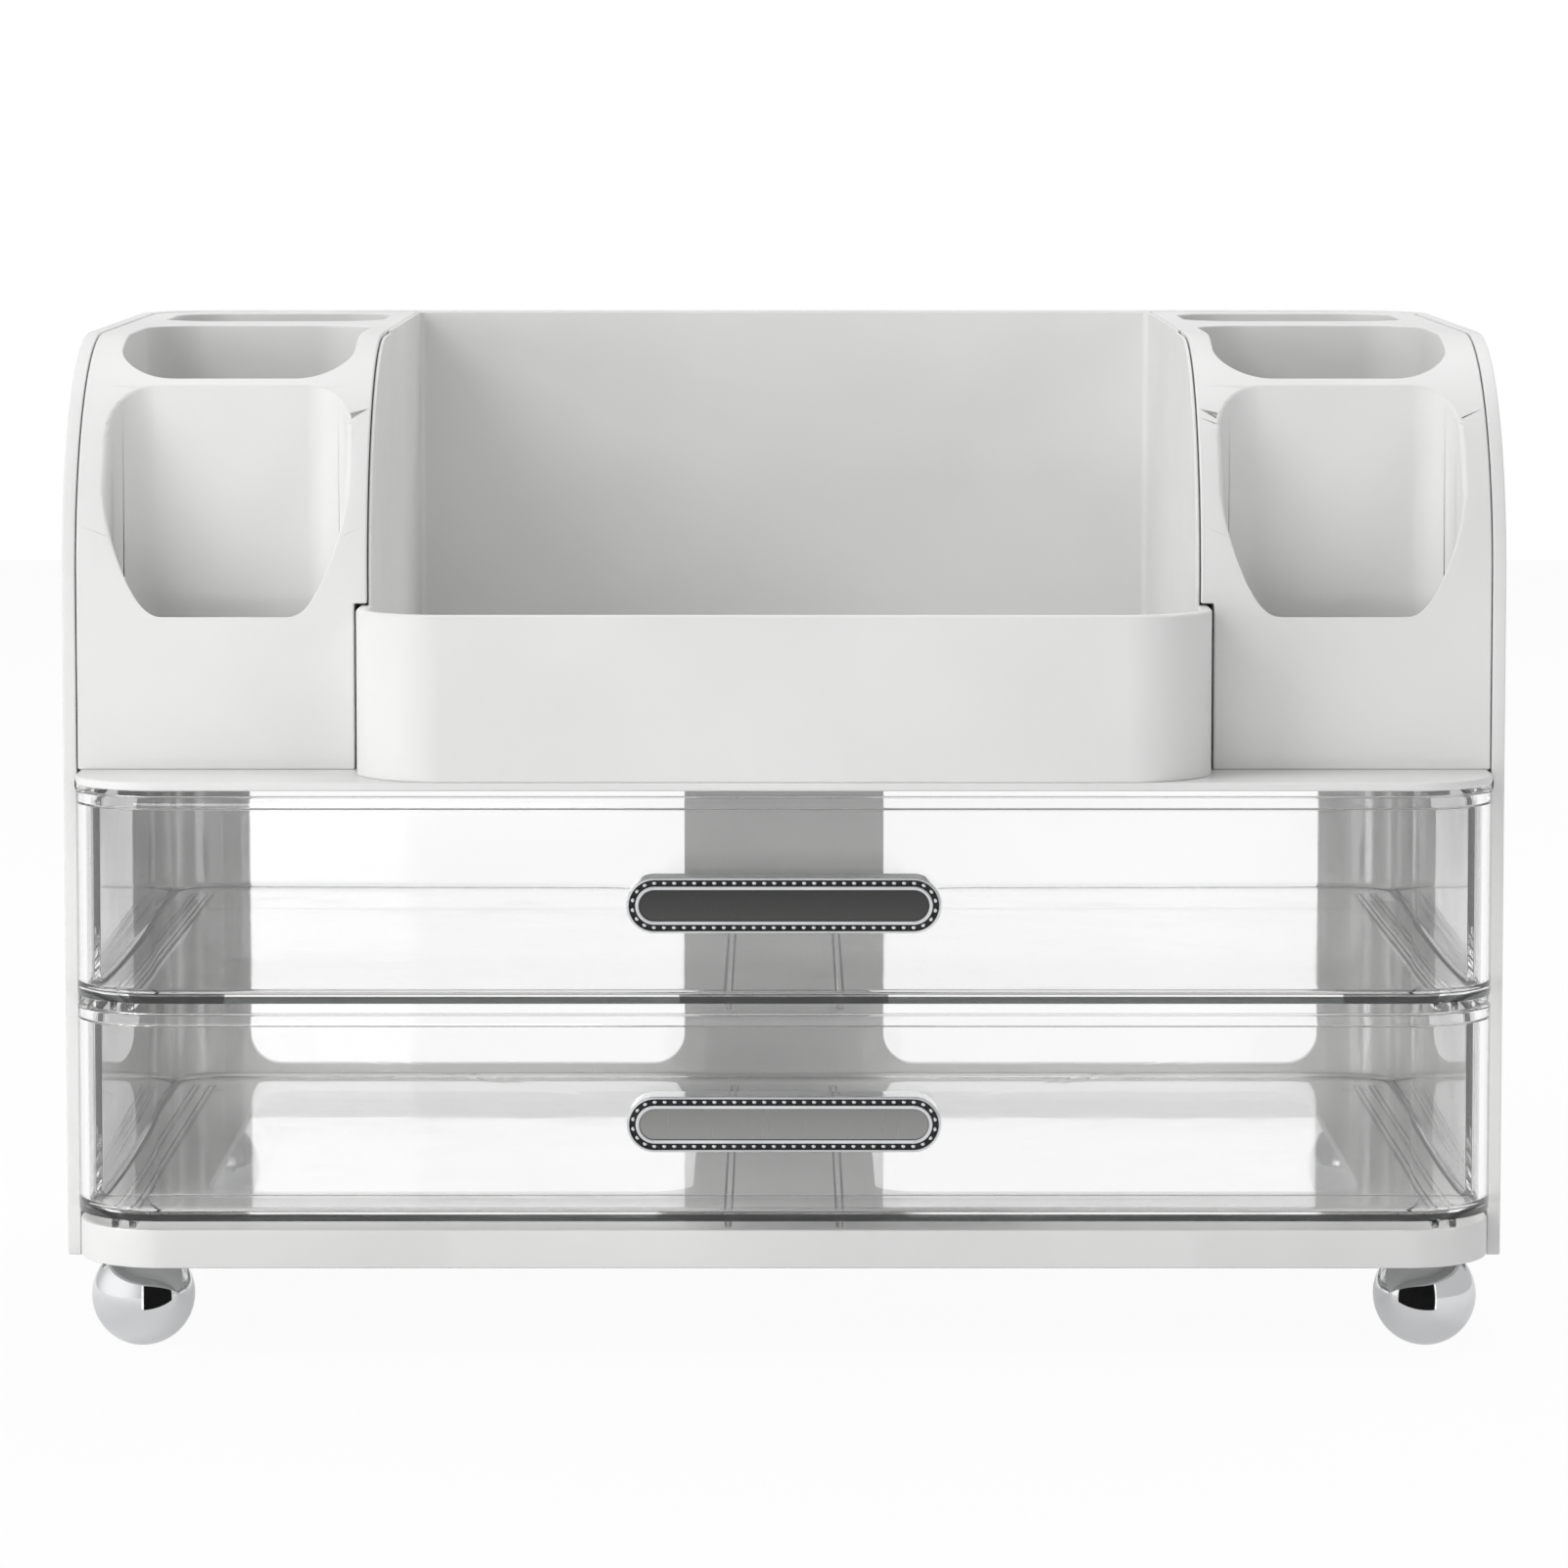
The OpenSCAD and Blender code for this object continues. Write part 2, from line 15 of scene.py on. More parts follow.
import bmesh
import bpy
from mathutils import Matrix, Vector


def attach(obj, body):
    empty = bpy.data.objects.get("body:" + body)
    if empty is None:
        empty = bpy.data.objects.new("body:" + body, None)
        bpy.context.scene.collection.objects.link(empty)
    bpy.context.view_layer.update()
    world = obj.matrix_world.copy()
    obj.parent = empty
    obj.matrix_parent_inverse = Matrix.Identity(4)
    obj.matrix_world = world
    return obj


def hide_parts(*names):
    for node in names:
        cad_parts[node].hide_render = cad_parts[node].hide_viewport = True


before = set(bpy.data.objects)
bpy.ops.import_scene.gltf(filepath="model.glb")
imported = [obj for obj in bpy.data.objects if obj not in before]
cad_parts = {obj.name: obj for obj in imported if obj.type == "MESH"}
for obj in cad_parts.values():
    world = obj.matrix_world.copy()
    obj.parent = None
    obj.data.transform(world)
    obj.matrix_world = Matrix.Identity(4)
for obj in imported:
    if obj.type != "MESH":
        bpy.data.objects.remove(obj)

MM = 0.001
TOUCH = 0.02
# How far an added shape runs into the one that it joins
SINK = 0.1
# How far off a place may be where a piece's own edges and faces are told apart
ABOUT = 0.1
# A normal's part along an axis: less than this is across the axis, more than this is along it
ACROSS = 0.1
ALONG = 0.9
# Nearly all of a noise lies between these values
NOISE_LOW = 0.3
NOISE_HIGH = 0.7
FRONT_Y = -101.0
# Over everything, for cutters that open upwards
ABOVE = 245.0
CASE = "case"
LOG = logging.getLogger("organiser")

Piece = bpy.types.Object
Tree = bpy.types.NodeTree
Socket = bpy.types.NodeSocket
Colour = tuple[float, float, float, float]
Spot = tuple[float, float, float]
EdgeTest = Callable[[Vector, Vector], bool]
EdgeShare = Callable[[Vector, Vector], float | None]
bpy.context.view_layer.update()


class Worded(Enum):
    """A choice whose word stands in the names of nodes and pieces."""

    @property
    def word(self) -> str:
        """The word."""
        return self.name.lower()


class Side(Worded):
    """The two sides of the cabinet, seen from the front, with their sign along X."""

    LEFT = -1
    RIGHT = 1


class Level(Worded):
    """The two drawers, with the body that each one is."""

    UPPER = "upper_drawer_unit"
    LOWER = "lower_drawer_unit"


class Element(Enum):
    """What edit mode selects."""

    VERTEX = "VERT"
    EDGE = "EDGE"
    FACE = "FACE"


class Combine(Enum):
    """How one closed shape is worked into another.

    A shape that is cut away runs past the piece, so that none of their faces lie on each other.
    """

    ADD = "UNION"
    CUT = "DIFFERENCE"
    SHARE = "INTERSECT"


@dataclass(frozen=True)
class Block:
    """A box in millimetres, from its lowest to its highest place along each axis."""

    x0: float
    x1: float
    y0: float
    y1: float
    z0: float
    z1: float

    @property
    def centre(self) -> Vector:
        """The middle of the box."""
        return Vector(((self.x0 + self.x1) / 2, (self.y0 + self.y1) / 2, (self.z0 + self.z1) / 2))

    @property
    def size(self) -> Vector:
        """The box's length along each axis."""
        return Vector((self.x1 - self.x0, self.y1 - self.y0, self.z1 - self.z0))

    def on_side(self, side: Side) -> "Block":
        """The same box on the given side, where it is stated for the right."""
        if side is Side.RIGHT:
            return self
        return Block(-self.x1, -self.x0, self.y0, self.y1, self.z0, self.z1)


def near(value: float, target: float, reach: float = TOUCH) -> bool:
    """Says whether two lengths in millimetres are the same to within reach."""
    return abs(value - target) < reach


def behind(depth: float) -> float:
    """The place along Y that lies this far behind the drawer fronts."""
    return FRONT_Y + depth


def ends_of(edge: bmesh.types.BMEdge) -> tuple[Vector, Vector]:
    """An edge's two ends, in millimetres."""
    return edge.verts[0].co / MM, edge.verts[1].co / MM


def edge_at(**place: float) -> EdgeTest:
    """A test for edges with both ends at a place along the axes that are named."""
    return lambda *ends: all(near(getattr(end, axis), value)
                             for end in ends for axis, value in place.items())


def select_only(piece: Piece) -> None:
    """Makes a piece the one selected and active object."""
    bpy.ops.object.select_all(action="DESELECT")
    piece.select_set(True)
    bpy.context.view_layer.objects.active = piece


@contextmanager
def editing(piece: Piece, element: Element, whole: bool = False) -> Iterator[bmesh.types.BMesh]:
    """Opens a piece in edit mode, and closes it again.

    Args:
        piece: the piece to edit.
        element: what is selected there.
        whole: whether all of it is selected at first, or nothing.

    Returns:
        The mesh under edit, for selecting by place.
    """
    select_only(piece)
    bpy.ops.object.mode_set(mode="EDIT")
    bpy.ops.mesh.select_mode(type=element.value)
    bpy.ops.mesh.select_all(action="SELECT" if whole else "DESELECT")
    yield bmesh.from_edit_mesh(piece.data)
    bpy.ops.object.mode_set(mode="OBJECT")


def pick(piece: Piece, elements: Iterable[Any], chosen: Callable[[Any], bool]) -> bool:
    """Selects those elements of a mesh under edit that pass a test.

    Args:
        piece: the piece under edit.
        elements: its points, edges or faces.
        chosen: says of one of them whether it is wanted.

    Returns:
        Whether there are any.
    """
    found = [element for element in elements if chosen(element)]
    for element in found:
        element.select_set(True)
    bmesh.update_edit_mesh(piece.data)
    return bool(found)


def settle(name: str) -> Piece:
    """Names the new primitive and puts its place, turn and size in its mesh.

    Args:
        name: the name it gets.

    Returns:
        The primitive's object.
    """
    piece = bpy.context.active_object
    piece.name = name
    piece.data.name = name
    bpy.ops.object.transform_apply(location=True, rotation=True, scale=True)
    return piece


def add_block(name: str, block: Block) -> Piece:
    """Adds a box at its size and place, with its place in its mesh.

    Args:
        name: the new object's name.
        block: the box in millimetres.

    Returns:
        The new object.
    """
    bpy.ops.object.select_all(action="DESELECT")
    bpy.ops.mesh.primitive_cube_add(size=1.0, location=block.centre * MM, scale=block.size * MM)
    return settle(name)


def add_bar(start: Vector, end: Vector, radius: float, steps: int = 32) -> Piece:
    """Adds a round bar between two points.

    Args:
        start: the middle of one end, in millimetres.
        end: the middle of the other end.
        radius: the bar's radius.
        steps: how many flats it is drawn with.

    Returns:
        The new object.
    """
    way = end - start
    bpy.ops.object.select_all(action="DESELECT")
    bpy.ops.mesh.primitive_cylinder_add(
        vertices=steps, radius=radius * MM, depth=way.length * MM,
        location=(start + end) / 2 * MM, rotation=way.to_track_quat("Z", "Y").to_euler())
    return settle("bar")


def round_edges(piece: Piece, radius: float, steps: int, chosen: EdgeTest) -> None:
    """Bevels the edges that are chosen by their ends.

    Args:
        piece: the piece to shape.
        radius: how far the rounding reaches along each face.
        steps: how many flats it is drawn with.
        chosen: says of an edge's two ends, in millimetres, whether it is rounded.
    """
    with editing(piece, Element.EDGE) as mesh:
        if pick(piece, mesh.edges, lambda edge: chosen(*ends_of(edge))):
            bpy.ops.mesh.bevel(offset=radius * MM, offset_type="OFFSET", segments=steps,
                               affect="EDGES", clamp_overlap=False)


def add_rounded(name: str, block: Block, front: float, back: float, steps: int = 24) -> Piece:
    """Adds a box with rounded upright edges.

    Args:
        name: the new object's name.
        block: the box in millimetres.
        front: the radius of the two front corners, 0 for square ones.
        back: the radius of the two back corners, 0 for square ones.
        steps: how many flats a corner is drawn with.

    Returns:
        The new object.
    """
    piece = add_block(name, block)
    for y, radius in ((block.y0, front), (block.y1, back)):
        for x in (block.x0, block.x1):
            if radius > 0:
                round_edges(piece, radius, steps, edge_at(x=x, y=y))
    return piece


def combine(piece: Piece, other: Piece, how: Combine) -> None:
    """Works another closed shape into a piece and removes the other.

    Args:
        piece: the piece that stays.
        other: the shape that is added, cut away or shared.
        how: which of these it is.
    """
    select_only(piece)
    change = piece.modifiers.new(how.name, "BOOLEAN")
    change.operation = how.value
    change.solver = "EXACT"
    change.object = other
    bpy.ops.object.modifier_apply(modifier=change.name)
    bpy.data.objects.remove(other, do_unlink=True)


def slice_off(piece: Piece, point: Vector, normal: Vector) -> None:
    """Cuts away what lies in front of a plane, and closes the cut.

    Args:
        piece: the piece to cut.
        point: a point of the plane, in millimetres.
        normal: the way that the cut-away side lies.
    """
    with editing(piece, Element.VERTEX, whole=True):
        bpy.ops.mesh.bisect(plane_co=point * MM, plane_no=normal, use_fill=True,
                            clear_outer=True, threshold=MM * TOUCH / 10)


def turn_left(piece: Piece) -> None:
    """Mirrors a piece that was made for the right side, still without its shading, to the left."""
    with editing(piece, Element.VERTEX, whole=True):
        bpy.ops.transform.resize(value=(-1.0, 1.0, 1.0), center_override=(0.0, 0.0, 0.0))
        bpy.ops.mesh.normals_make_consistent(inside=False)


def merge_close(piece: Piece, reach: float = TOUCH) -> None:
    """Merges points that lie within reach, in millimetres, and drops what is left with no size."""
    with editing(piece, Element.VERTEX, whole=True):
        bpy.ops.mesh.remove_doubles(threshold=reach * MM)
        bpy.ops.mesh.dissolve_degenerate(threshold=reach * MM / 4)


def split_wide_faces(piece: Piece) -> None:
    """Splits faces with many corners, which a bevel would close over an opening."""
    with editing(piece, Element.FACE):
        bpy.ops.mesh.select_face_by_sides(number=4, type="GREATER", extend=False)
        bpy.ops.mesh.quads_convert_to_tris(quad_method="BEAUTY", ngon_method="BEAUTY")


def weigh_lip(piece: Piece, angle: float, lip: EdgeShare, levels: int = 10) -> None:
    """Gives the sharp edges of a lip their own bevel weights.

    Args:
        piece: the piece.
        angle: the least angle, in degrees, at which an edge counts as one.
        lip: gives the weight for an edge's two ends, or None for an edge off the lip.
        levels: how many steps the weights are set in.
    """
    with editing(piece, Element.EDGE) as mesh:
        bpy.ops.mesh.edges_select_sharp(sharpness=math.radians(angle))
        shares = {edge.index: lip(*ends_of(edge)) for edge in mesh.edges if edge.select}
    steps = {index: round(levels * share) for index, share in shares.items() if share is not None}
    for level in sorted(set(steps.values())):
        with editing(piece, Element.EDGE) as mesh:
            pick(piece, mesh.edges, lambda edge: steps.get(edge.index) == level)
            bpy.ops.transform.edge_bevelweight(value=-1.0)
            bpy.ops.transform.edge_bevelweight(value=level / levels)


def soften(piece: Piece, width: float, steps: int = 2, angle: float = 32.0, wide: float = 0.0,
           lip: EdgeShare | None = None, split: bool = False) -> None:
    """Rounds a piece's edges and gives it smooth shading with flat faces kept flat.

    Args:
        piece: the piece to finish.
        width: the rounding in millimetres; 0 leaves the edges as they are.
        steps: how many flats the rounding is drawn with.
        angle: the least angle, in degrees, at which an edge counts as one.
        wide: the rounding of the edges of its lip, if it has one.
        lip: says of a sharp edge's ends which share of that it gets, None off the lip.
        split: whether wide faces are split first, as on a thin-walled box.
    """
    if width > 0:
        if split:
            split_wide_faces(piece)
        reach = max(width, wide)
        with editing(piece, Element.EDGE):
            bpy.ops.mesh.edges_select_sharp(sharpness=math.radians(angle))
            bpy.ops.transform.edge_bevelweight(value=width / reach)
        if lip:
            weigh_lip(piece, angle, lip)
        select_only(piece)
        edge = piece.modifiers.new("edge_round", "BEVEL")
        edge.width = reach * MM
        edge.segments = steps
        edge.limit_method = "WEIGHT"
        edge.use_clamp_overlap = False
        bpy.ops.object.modifier_apply(modifier=edge.name)
    select_only(piece)
    bpy.ops.object.shade_smooth_by_angle(angle=math.radians(angle))
    normals = piece.modifiers.new("flat_faces", "WEIGHTED_NORMAL")
    normals.keep_sharp = True
    bpy.ops.object.modifier_apply(modifier=normals.name)


def linear(code: str) -> Colour:
    """Turns an sRGB hex colour to the linear values that a shader takes.

    Args:
        code: the colour as #rrggbb.

    Returns:
        Its linear red, green and blue, and full alpha.
    """
    shares = [int(code[i:i + 2], 16) / 255 for i in (1, 3, 5)]
    light = [s / 12.92 if s <= 0.04045 else ((s + 0.055) / 1.055) ** 2.4 for s in shares]
    return (light[0], light[1], light[2], 1.0)


def new_material(name: str) -> bpy.types.Material:
    """Makes a material with an empty node tree."""
    material = bpy.data.materials.new(name)
    material.use_nodes = True
    material.node_tree.nodes.clear()
    return material


def add_node(tree: Tree, kind: str, inputs: dict[Any, Any] | None = None,
             **settings: Any) -> bpy.types.Node:
    """Adds one node with its settings and links.

    Args:
        tree: the node tree.
        kind: the shader node's type, without its first two words.
        inputs: for an input, by name or number, its value or the socket that feeds it.
        settings: the node's own properties.

    Returns:
        The new node.
    """
    node = tree.nodes.new(f"ShaderNode{kind}")
    for name, value in settings.items():
        setattr(node, name, value)
    for name, value in (inputs or {}).items():
        if isinstance(value, Socket):
            tree.links.new(value, node.inputs[name])
        else:
            node.inputs[name].default_value = value
    return node


def object_place(tree: Tree) -> Socket:
    """The point on the object that a pattern is read at."""
    return add_node(tree, "TexCoord").outputs["Object"]


def noise(tree: Tree, place: Socket, wave: float, detail: float = 2.0) -> Socket:
    """A soft random pattern round about a half.

    Args:
        tree: the node tree.
        place: where the pattern is read.
        wave: the length of its waves in millimetres.
        detail: how many finer waves lie on it.

    Returns:
        The socket with the value.
    """
    scale = 1.0 / (wave * MM)
    return add_node(tree, "TexNoise", {"Scale": scale, "Detail": detail,
                                       "Vector": place}).outputs["Fac"]


def spread(tree: Tree, place: Socket, wave: float, low: float, high: float) -> Socket:
    """A soft random pattern between two values.

    Args:
        tree: the node tree.
        place: where the pattern is read.
        wave: the length of its waves in millimetres.
        low: the value that it seldom goes under.
        high: the value that it seldom goes over.

    Returns:
        The socket with the value.
    """
    return add_node(tree, "MapRange", {
        "From Min": NOISE_LOW, "From Max": NOISE_HIGH, "To Min": low, "To Max": high,
        "Value": noise(tree, place, wave)}).outputs["Result"]


def relief(tree: Tree, place: Socket, wave: float, height: float, share: float,
           base: Socket | None = None) -> Socket:
    """A fine relief in the surface, as a changed normal.

    Args:
        tree: the node tree.
        place: where the pattern is read.
        wave: the length of its waves in millimetres.
        height: how high they are, in millimetres.
        share: the share of the relief that shows.
        base: the normal that it lies on, if it isn't the plain one.

    Returns:
        The socket with the normal.
    """
    inputs = {"Strength": share, "Distance": height * MM, "Height": noise(tree, place, wave, 1.0)}
    if base is not None:
        inputs["Normal"] = base
    return add_node(tree, "Bump", inputs).outputs["Normal"]


def blend(tree: Tree, share: Socket, first: Socket | Colour, second: Socket | Colour) -> Socket:
    """A colour between two.

    Args:
        tree: the node tree.
        share: the socket with the share of the second, from 0 to 1.
        first: the colour at 0, as linear values or a socket.
        second: the colour at 1.

    Returns:
        The socket with the colour.
    """
    return add_node(tree, "Mix", {0: share, 6: first, 7: second}, data_type="RGBA").outputs[2]


def show(tree: Tree, shader: Socket) -> None:
    """Ends a material's tree in its output."""
    add_node(tree, "OutputMaterial", {"Surface": shader})


@dataclass(frozen=True)
class Finish:
    """A finish of the real product, kept as one Blender material.

    Its colour drifts between two tones and its gloss between smooth and rough, each in soft waves
    whose length is given in millimetres.
    """

    name: str
    pale: str = "#ffffff"
    deep: str = "#ffffff"
    tint_wave: float = 10.0
    smooth: float = 0.3
    rough: float = 0.4
    gloss_wave: float = 10.0
    made: ClassVar[dict[str, bpy.types.Material]] = {}

    def material(self) -> bpy.types.Material:
        """Gives the finish's material, and makes it the first time."""
        if self.name not in Finish.made:
            Finish.made[self.name] = new_material(self.name)
            self.build(Finish.made[self.name].node_tree)
        return Finish.made[self.name]

    def build(self, tree: Tree) -> None:
        """Fills the material's node tree."""
        raise NotImplementedError

    def surface(self, tree: Tree, place: Socket, inputs: dict[str, Any]) -> Socket:
        """A shader in the finish's two tones and with its uneven gloss.

        Args:
            tree: the node tree.
            place: where the patterns are read.
            inputs: what else the shader is given.

        Returns:
            The shader's socket.
        """
        share = spread(tree, place, self.tint_wave, 0.0, 1.0)
        gloss = spread(tree, place, self.gloss_wave, self.smooth, self.rough)
        return add_node(tree, "BsdfPrincipled", {
            "Base Color": blend(tree, share, linear(self.pale), linear(self.deep)),
            "Roughness": gloss, **inputs}).outputs["BSDF"]


@dataclass(frozen=True)
class MouldedAbs(Finish):
    """White ABS from a polished mould: satin gloss, uneven reflections, a hint of mould grain."""

    pale: str = "#e9e9e8"
    deep: str = "#e2e2e1"
    tint_wave: float = 55.0
    smooth: float = 0.30
    rough: float = 0.38
    gloss_wave: float = 9.0
    # Flow of the melt: long shallow waves that bend a highlight
    flow_wave: float = 28.0
    flow_height: float = 0.05
    flow_share: float = 0.5
    # Mould grain, drawn coarser than the real 0.1 mm so that it shows
    grain_wave: float = 0.8
    grain_height: float = 0.02
    grain_share: float = 0.25
    ior: float = 1.54

    def build(self, tree: Tree) -> None:
        """Fills the material's node tree."""
        place = object_place(tree)
        flow = relief(tree, place, self.flow_wave, self.flow_height, self.flow_share)
        grain = relief(tree, place, self.grain_wave, self.grain_height, self.grain_share, flow)
        show(tree, self.surface(tree, place, {"IOR": self.ior, "Normal": grain}))


@dataclass(frozen=True)
class ClearStyrene(Finish):
    """Clear polystyrene from a polished mould: water-clear walls, wavy edges."""

    pale: str = "#fefefe"
    deep: str = "#fbfbfb"
    tint_wave: float = 70.0
    smooth: float = 0.0
    rough: float = 0.03
    gloss_wave: float = 14.0
    flow_wave: float = 24.0
    flow_height: float = 0.06
    flow_share: float = 0.4
    ior: float = 1.57

    def build(self, tree: Tree) -> None:
        """Fills the material's node tree."""
        place = object_place(tree)
        clear = self.surface(tree, place, {
            "IOR": self.ior, "Transmission Weight": 1.0,
            "Normal": relief(tree, place, self.flow_wave, self.flow_height, self.flow_share)})
        # A shadow ray goes straight through, so that the lamps light what is inside
        shadow = add_node(tree, "LightPath").outputs["Is Shadow Ray"]
        through = add_node(tree, "BsdfTransparent", {"Color": linear(self.pale)})
        mix = add_node(tree, "MixShader", {0: shadow, 1: clear, 2: through.outputs["BSDF"]})
        show(tree, mix.outputs["Shader"])


@dataclass(frozen=True)
class PlatedMetal(Finish):
    """Bright plating on a polished casting: a mirror with faint haze and handling marks."""

    pale: str = "#e4e5e7"
    deep: str = "#d6d8da"
    tint_wave: float = 11.0
    smooth: float = 0.03
    rough: float = 0.10
    gloss_wave: float = 4.0
    dent_wave: float = 6.0
    dent_height: float = 0.01
    dent_share: float = 0.4

    def build(self, tree: Tree) -> None:
        """Fills the material's node tree."""
        place = object_place(tree)
        dents = relief(tree, place, self.dent_wave, self.dent_height, self.dent_share)
        show(tree, self.surface(tree, place, {"Metallic": 1.0, "Normal": dents}))


@dataclass(frozen=True)
class BlackenedRecess(Finish):
    """Black lacquer wiped into the bead groove: dull black that sets the bright beads off."""

    pale: str = "#1c1c1d"
    deep: str = "#0b0b0c"
    tint_wave: float = 1.6
    smooth: float = 0.35
    rough: float = 0.6
    gloss_wave: float = 1.6
    ior: float = 1.5

    def build(self, tree: Tree) -> None:
        """Fills the material's node tree."""
        show(tree, self.surface(tree, object_place(tree), {"IOR": self.ior}))


@dataclass(frozen=True)
class ZincSteel(Finish):
    """Zinc-plated steel: grey-blue metal, dull and a little blotched."""

    pale: str = "#c3c6c9"
    deep: str = "#a9acb0"
    tint_wave: float = 2.5
    smooth: float = 0.25
    rough: float = 0.42
    gloss_wave: float = 2.5

    def build(self, tree: Tree) -> None:
        """Fills the material's node tree."""
        show(tree, self.surface(tree, object_place(tree), {"Metallic": 1.0}))


@dataclass(frozen=True)
class SmokedStripPaintedReflection(Finish):
    """Grey mirror film behind smoked acrylic: satin grey with faint streaks across its height, and
    a painted reflection, pale at its foot and deep at its top.
    """

    # Painted reflection: the strip's foot in the pale tone, its top in the deep one
    low_z: float = 0.0
    high_z: float = 1.0
    pale: str = "#4c4c4b"
    deep: str = "#3c3c3c"
    smooth: float = 0.27
    rough: float = 0.31
    gloss_wave: float = 0.9
    streak_stretch: float = 0.06
    metallic: float = 0.75
    coat: float = 0.3
    coat_rough: float = 0.05

    def build(self, tree: Tree) -> None:
        """Fills the material's node tree."""
        place = object_place(tree)
        height = add_node(tree, "SeparateXYZ", {"Vector": place}).outputs["Z"]
        # Painted reflection: the base colour runs from pale at the strip's foot to deep at its top
        share = add_node(tree, "MapRange", {
            "From Min": self.low_z * MM, "From Max": self.high_z * MM, "Value": height})
        drawn = add_node(tree, "Mapping", {"Scale": (1.0, 1.0, self.streak_stretch),
                                           "Vector": place}).outputs["Vector"]
        shader = add_node(tree, "BsdfPrincipled", {
            "Metallic": self.metallic, "Coat Weight": self.coat, "Coat Roughness": self.coat_rough,
            "Base Color": blend(tree, share.outputs["Result"], linear(self.pale),
                                linear(self.deep)),
            "Roughness": spread(tree, drawn, self.gloss_wave, self.smooth, self.rough)})
        show(tree, shader.outputs["BSDF"])


@dataclass(frozen=True)
class Dress:
    """What a finished piece gets: its finish, its body and the nodes that it stands in for, with a
    slot name besides.
    """

    finish: Finish
    slot: str
    body: str
    nodes: tuple[str, ...]

    def put_on(self, piece: Piece) -> None:
        """Gives the piece its material, unless it has its own, and ties it to the frame.

        Args:
            piece: the finished piece.
        """
        if not piece.data.materials:
            piece.data.materials.append(self.finish.material())
        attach(piece, self.body)
        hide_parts(*self.nodes)
        LOG.info("%s: %d faces, rides on %s", piece.name, len(piece.data.polygons), self.body)


WHITE = MouldedAbs("white_abs_satin")
CLEAR = ClearStyrene("clear_polystyrene_polished")
CLEAR_EDGE_PAINTED_SHADE = ClearStyrene("clear_polystyrene_floor_edge", pale="#252726", deep="#1d1f1e")
# Near-black tint for the floor's front edge: painted shade for the dark band that a thick clear
# edge shows
BEZEL_PLATE = PlatedMetal("plated_bezel_bright")
BALL_PLATE = PlatedMetal("chrome_ball_polished", pale="#e9eaeb", deep="#dfe0e2", tint_wave=30.0,
                         smooth=0.02, rough=0.06, gloss_wave=9.0)
RECESS = BlackenedRecess("blackened_recess")
SCREW_STEEL = ZincSteel("zinc_plated_steel")
# One insert material in two painted tones: the lower strip's paler tones are painted reflection
UPPER_STRIP = SmokedStripPaintedReflection("smoked_strip_upper_painted_reflection", low_z=102.2, high_z=109.1)
LOWER_STRIP = SmokedStripPaintedReflection("smoked_strip_lower_painted_reflection", low_z=52.8, high_z=59.8, pale="#9a9a99",
                          deep="#8c8c8b")


def dress_white(piece: Piece, node: str) -> None:
    """Gives a white moulding of the case its finish, in place of its node."""
    Dress(WHITE, "white_abs", CASE, (node,)).put_on(piece)


@dataclass(frozen=True)
class Crown:
    """The side profile of panels, holders and tall tray walls: a shoulder, then a slow rise."""

    front: float
    back: float
    top: float
    radius: float = 56.0
    rise: float = 1.8
    steps: int = 32

    @property
    def centre_y(self) -> float:
        """Where the shoulder's arc ends and the rise starts."""
        return self.front + self.radius

    @property
    def centre_z(self) -> float:
        """The height of the shoulder's centre."""
        return self.top - self.radius

    def height(self, y: float) -> float:
        """The height of the sloping top at a depth, with no inset."""
        return self.top + self.rise * (y - self.centre_y) / (self.back - self.centre_y)

    def shape(self, name: str, block: Block, inset: float) -> Piece:
        """Makes a solid with the profile.

        Args:
            name: the new object's name.
            block: its ends along X, its back and its foot; its front and top follow the profile.
            inset: how far the profile is set in.

        Returns:
            The new object.
        """
        top = self.top - inset
        front = self.front + inset
        piece = add_block(name, Block(block.x0, block.x1, front, block.y1, block.z0, top))
        round_edges(piece, self.radius - inset, self.steps, edge_at(y=front, z=top))
        with editing(piece, Element.EDGE) as mesh:
            at_back = edge_at(y=block.y1, z=top)
            pick(piece, mesh.edges, lambda edge: at_back(*ends_of(edge)))
            bpy.ops.transform.translate(value=(0, 0, (self.height(block.y1) - self.top) * MM))
        return piece

    def on_skin(self, point: Vector, inset: float, reach: float = 0.12) -> bool:
        """Says whether a point lies on the profile's front, shoulder or top.

        Args:
            point: the point in millimetres.
            inset: how far the profile is set in.
            reach: how far off the point may be.

        Returns:
            Whether it does.
        """
        if point.y > self.centre_y:
            return near(point.z, self.height(point.y) - inset, reach)
        if point.z < self.centre_z:
            return near(point.y, self.front + inset, reach)
        away = math.hypot(point.y - self.centre_y, point.z - self.centre_z)
        return near(away, self.radius - inset, reach)


CROWN = Crown(front=behind(27.0), back=behind(210.0), top=231.0)


